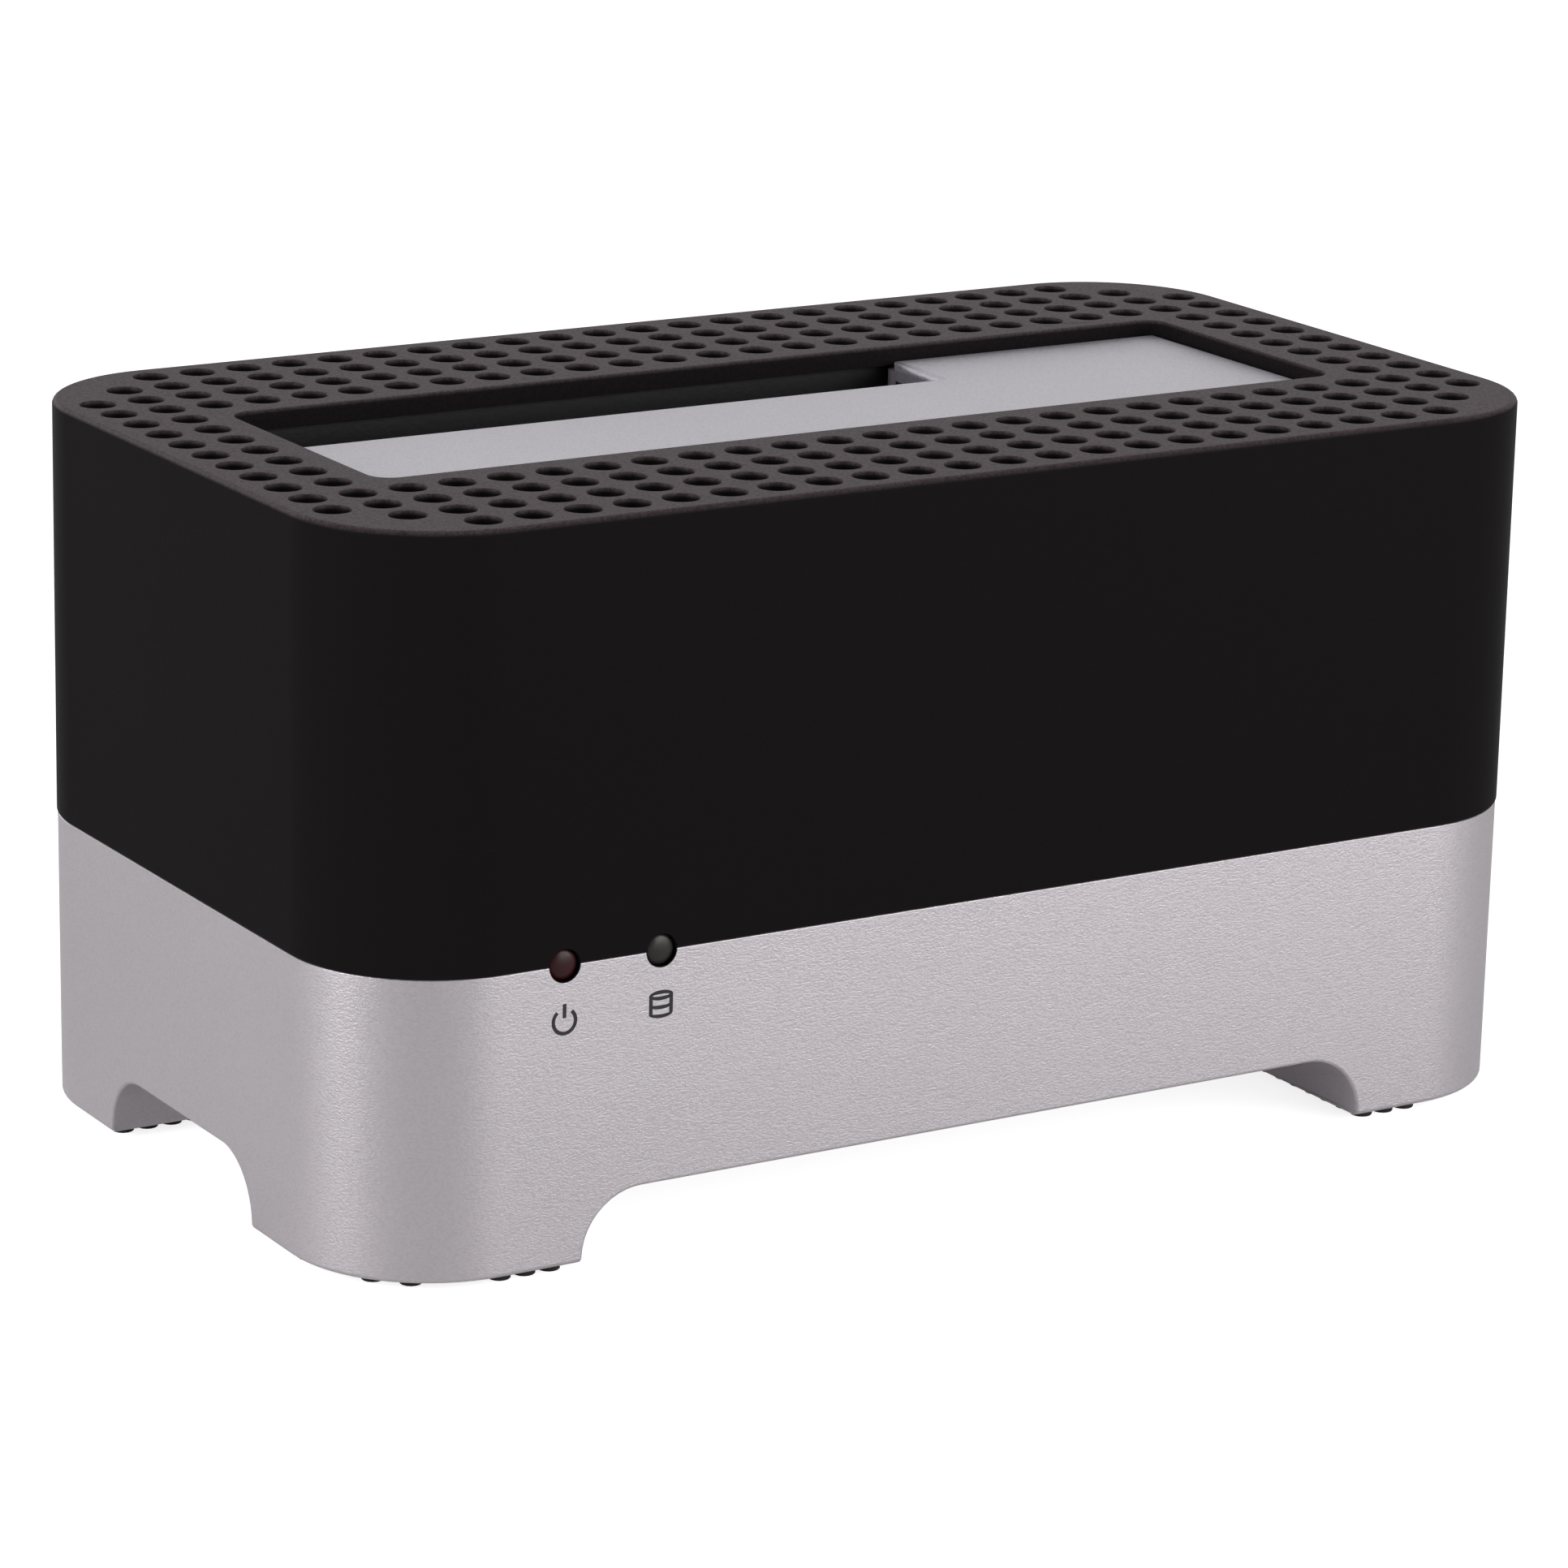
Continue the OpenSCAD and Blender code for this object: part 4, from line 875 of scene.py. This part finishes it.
class DOCK_OT_lamps(bpy.types.Operator):
    """The two lamps on the seam: a domed lens with a rim, and the cup and post inside it"""
    bl_idname = "dock.lamps"
    bl_label = "Lamps"

    def execute(self, context):
        sizes, colours = context.scene.dock_sizes, context.scene.dock_colours
        red = lens_finish("Red lamp lens", colours.red_lens, 0.1)
        clear = lens_finish("Clear lamp lens", colours.clear_lens, 0.45)
        tin = metal("Lead frame", colours.steel, 0.1 * MM, 0.01 * MM, 0.25, 0.4)
        for node, slot, finish in (("power_led", "lamp_red", red), ("activity_led", "lamp_clear", clear)):
            lens = self.lens(node, sizes)
            hand_over(lens, "dock", slot, finish, node)
            cup = self.cup(node, sizes)
            hand_over(cup, "dock", "lead_tin", tin)
        return {"FINISHED"}

    def lens(self, node, sizes):
        low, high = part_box(node)
        centre = (low + high) / 2
        radius = sizes.lens_width / 2
        crown = 0.45 * MM
        forward = 0.3 * MM
        dome = Vector((centre.x, low.y - forward + crown, centre.z))
        only()
        bpy.ops.mesh.primitive_uv_sphere_add(segments=32, ring_count=24, radius=radius, location=dome,
                                             rotation=(pi / 2, 0, 0))
        lens = bpy.context.object
        lens.name = node.replace("led", "lens")
        lens.scale.z = crown / radius
        bpy.ops.object.transform_apply()
        edit(lens)
        bpy.ops.mesh.select_all(action="SELECT")
        bpy.ops.mesh.bisect(plane_co=dome, plane_no=(0, 1, 0), clear_outer=True, use_fill=False)
        pick_edges(lens, is_open)
        rim_start = high.y - 1.0 * MM
        bpy.ops.mesh.extrude_region_move(TRANSFORM_OT_translate={"value": (0, rim_start - dome.y, 0)})
        widen = (high.x - low.x) / sizes.lens_width
        bpy.ops.mesh.extrude_region_move()
        bpy.ops.transform.resize(value=(widen, 1, widen), center_override=(dome.x, rim_start, dome.z))
        bpy.ops.mesh.extrude_region_move(TRANSFORM_OT_translate={"value": (0, high.y - rim_start, 0)})
        bpy.ops.mesh.edge_face_add()
        close()
        settle(lens)
        round_edges(lens, is_sharp, FINE_EDGE, 2)
        smooth(lens, 40)
        return lens

    def cup(self, node, sizes):
        low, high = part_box(node)
        centre = (low + high) / 2
        radius = sizes.lens_width * 0.27
        cup_x = centre.x - 0.25 * MM
        cup_deep = 0.9 * MM
        wall = 0.12 * MM
        hollow = 0.45 * MM
        post_place = (centre.x + 0.75 * MM, low.y + 2.9 * MM, centre.z)
        post_size = (0.45 * MM, 1.6 * MM, 0.45 * MM)
        only()
        bpy.ops.mesh.primitive_cylinder_add(vertices=24, radius=radius, depth=cup_deep,
                                            location=(cup_x, low.y + 2.4 * MM, centre.z),
                                            rotation=(pi / 2, 0, 0))
        cup = bpy.context.object
        bpy.ops.object.transform_apply()
        edit(cup)
        pick_faces(cup, lambda face: face.normal.y < -0.9)
        bpy.ops.mesh.inset(thickness=wall)
        bpy.ops.mesh.extrude_region_move(TRANSFORM_OT_translate={"value": (0, hollow, 0)})
        bpy.ops.transform.resize(value=(0.6, 1, 0.6), center_override=(cup_x, low.y, centre.z))
        close()
        only()
        bpy.ops.mesh.primitive_cube_add(size=1, location=post_place)
        post = bpy.context.object
        post.scale = post_size
        bpy.ops.object.transform_apply()
        round_edges(post, is_sharp, FINE_EDGE, 2)
        frame_piece = joined(node.replace("led", "lead_frame"), [cup, post])
        settle(frame_piece)
        smooth(frame_piece, 40)
        return frame_piece


class DOCK_OT_symbols(bpy.types.Operator):
    """Printed symbols below the lamps: a power sign and a drum for disk activity"""
    bl_idname = "dock.symbols"
    bl_label = "Symbols"

    def execute(self, context):
        sizes, colours = context.scene.dock_sizes, context.scene.dock_colours
        ink = grained("Printed ink", colours.ink, 0.12 * MM, 0.004 * MM, 0.4, 0.5, 0.1, 0.7)
        for node, name, drawing in (("power_led", "power_symbol", self.power_sign),
                                    ("activity_led", "activity_symbol", self.drum_sign)):
            low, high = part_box(node)
            strokes = drawing(sizes)
            for stroke in strokes:
                apply_modifier(stroke, "SOLIDIFY", thickness=sizes.ink_height, offset=1)
            self.print_on_base(fused(name, strokes), (low.x + high.x) / 2, sizes, ink)
        return {"FINISHED"}

    def arc(self, width, height, top, line, centre):
        """A flat band along an ellipse, up to a share of its half height, drawn in the x-y plane"""
        only()
        bpy.ops.mesh.primitive_circle_add(vertices=64, radius=1)
        band = bpy.context.object
        edit(band, "VERT")
        shape = bmesh.from_edit_mesh(band.data)
        for vert in shape.verts:
            vert.select_set(vert.co.y > top + SMALL)
        bmesh.update_edit_mesh(band.data)
        bpy.ops.mesh.delete(type="VERT")
        bpy.ops.mesh.select_all(action="SELECT")
        middle_at = {"center_override": (0, 0, 0)}
        bpy.ops.transform.resize(value=(width / 2, height / 2, 1), **middle_at)
        bpy.ops.mesh.extrude_region_move()
        bpy.ops.transform.resize(value=(1 - 2 * line / width, 1 - 2 * line / height, 1), **middle_at)
        close()
        band.location = (centre[0], centre[1], 0)
        bpy.ops.object.transform_apply()
        return band

    def bar(self, width, height, centre):
        """A flat straight stroke"""
        only()
        bpy.ops.mesh.primitive_plane_add(size=1, location=(centre[0], centre[1], 0))
        stroke = bpy.context.object
        stroke.scale = (width, height, 1)
        bpy.ops.object.transform_apply()
        return stroke

    def power_sign(self, sizes):
        tall, line = sizes.symbol_height, sizes.symbol_line
        ring = self.arc(tall, tall, 0.8, line, (0, -0.05 * tall))
        stem = self.bar(line, tall * 0.5, (0, tall * 0.32))
        return [ring, stem]

    def drum_sign(self, sizes):
        tall, line = sizes.symbol_height, sizes.symbol_line
        wide, oval = tall * 0.95, tall * 0.36
        lid = tall / 2 - oval / 2
        strokes = [self.arc(wide, oval, 1, line, (0, lid))]
        strokes += [self.arc(wide, oval, 0, line, (0, lid - tall * share)) for share in (0.32, 0.64)]
        for side in (-1, 1):
            inset = (wide - line) / 2 - SMALL
            strokes.append(self.bar(line, tall * 0.66, (side * inset, lid - tall * 0.32)))
        return strokes

    def print_on_base(self, sign, x, sizes, ink):
        height = SEAM_Z - sizes.symbol_drop
        lean = BASE_TAPER / (SEAM_Z - BASE_LOW.z)
        sign.rotation_euler = (pi / 2 + lean, 0, 0)
        sign.location = (x, BASE_LOW.y + lean * sizes.symbol_drop, height)
        settle(sign)
        hand_over(sign, "dock", "button_black", ink)


class DOCK_OT_rear(bpy.types.Operator):
    """Rear fittings: button, data port and power inlet, with their outer edges rounded"""
    bl_idname = "dock.rear"
    bl_label = "Rear fittings"

    def execute(self, context):
        colours = context.scene.dock_colours
        button = grained("Button plastic", linear("1a1a1c"), 0.4 * MM, 0.02 * MM, 0.4, 0.52, 0.15)
        moulded = grained("Jack plastic", colours.well, 0.3 * MM, 0.01 * MM, 0.4, 0.55, 0.15)
        blue = grained("Port insulator", colours.port_blue, 0.3 * MM, 0.01 * MM, 0.35, 0.5, 0.12)
        plated = metal("Port sheet metal", colours.steel, 0.12 * MM, 0.006 * MM, 0.25, 0.4)
        for node, name, body, slot, finish, width in (
                ("power_button", "button_cap", "button", "button_black", button, 0.4 * MM),
                ("usb_port_shell", "port_shell", "dock", "port_metal", plated, 0.1 * MM),
                ("usb_port_insert", "port_insert", "dock", "port_blue", blue, 0.1 * MM),
                ("dc_jack_body", "jack_body", "dock", "jack_black", moulded, 0.2 * MM)):
            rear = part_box(node)[1].y
            piece = node_copy(node, name)
            round_edges(piece, lambda edge: is_sharp(edge) and self.flush(edge, rear), width, 3)
            smooth(piece)
            hand_over(piece, body, slot, finish, node)
        return {"FINISHED"}

    def flush(self, edge, rear):
        """An edge in the rearmost plane of a fitting"""
        return all(rear - vert.co.y < SMALL for vert in edge.verts)


class DOCK_OT_inside(bpy.types.Operator):
    """Finishes of the solids that stay in view: well, pin, board and its parts, and screws"""
    bl_idname = "dock.inside"
    bl_label = "Inner parts"

    def execute(self, context):
        colours = context.scene.dock_colours
        black = colours.well
        steel, gold = colours.steel, colours.gold
        well = grained("Well plastic", black, 0.5 * MM, 0.02 * MM, 0.45, 0.6, 0.15)
        moulded = grained("Connector plastic", black, 0.3 * MM, 0.01 * MM, 0.4, 0.55, 0.15)
        chip = grained("Chip resin", linear("1d1d1f"), 0.2 * MM, 0.008 * MM, 0.5, 0.65, 0.2)
        core = grained("Ferrite", linear("3a3a3c"), 0.25 * MM, 0.02 * MM, 0.5, 0.7, 0.2)
        brown = grained("Ceramic", linear("7a5a3c"), 0.2 * MM, 0.01 * MM, 0.4, 0.55, 0.15)
        turned = metal("Turned steel", steel, 0.1 * MM, 0.008 * MM, 0.2, 0.35)
        golden = metal("Gold plating", gold, 0.1 * MM, 0.004 * MM, 0.2, 0.32)
        can = metal("Can aluminium", linear("c9cacc"), 0.15 * MM, 0.006 * MM, 0.28, 0.4)
        dress(well, "drive_well")
        dress(moulded, "sata_receptacle", "power_switch_body")
        dress(chip, "bridge_chip", "regulators")
        dress(core, "power_inductors")
        dress(brown, "small_parts")
        dress(turned, "flap_hinge_pin", "base_screws", "board_screws", "dc_jack_pin", "led_leads")
        dress(golden, "sata_contacts")
        dress(can, "filter_capacitors", "crystal")
        dress(board_finish(colours), "main_board")
        return {"FINISHED"}


class DOCK_PT_panel(bpy.types.Panel):
    """Pieces of the dock, and the sizes and colours that they are made with"""
    bl_idname = "DOCK_PT_panel"
    bl_label = "Drive dock"
    bl_space_type = "VIEW_3D"
    bl_region_type = "UI"
    bl_category = "Dock"

    def draw(self, context):
        for group in (context.scene.dock_sizes, context.scene.dock_colours, context.scene.dock_stage):
            box = self.layout.box()
            for name in group.__annotations__:
                box.prop(group, name)
        for operator in OPERATORS:
            self.layout.operator(operator.bl_idname)


GROUPS = {"dock_sizes": DockSizes, "dock_colours": DockColours, "dock_stage": DockStage}
OPERATORS = (DOCK_OT_stage, DOCK_OT_cover, DOCK_OT_base, DOCK_OT_flap, DOCK_OT_spring, DOCK_OT_feet,
             DOCK_OT_lamps, DOCK_OT_symbols, DOCK_OT_rear, DOCK_OT_inside)


def register():
    for name, group in GROUPS.items():
        bpy.utils.register_class(group)
        setattr(bpy.types.Scene, name, bpy.props.PointerProperty(type=group))
    for item in OPERATORS + (DOCK_PT_panel,):
        bpy.utils.register_class(item)


def unregister():
    for item in (DOCK_PT_panel,) + OPERATORS[::-1]:
        bpy.utils.unregister_class(item)
    for name, group in GROUPS.items():
        delattr(bpy.types.Scene, name)
        bpy.utils.unregister_class(group)


def main():
    register()
    bpy.ops.dock.stage()
    bpy.ops.dock.cover()
    bpy.ops.dock.base()
    bpy.ops.dock.flap()
    bpy.ops.dock.spring()
    bpy.ops.dock.feet()
    bpy.ops.dock.lamps()
    bpy.ops.dock.symbols()
    bpy.ops.dock.rear()
    bpy.ops.dock.inside()


if __name__ == "__main__":
    main()
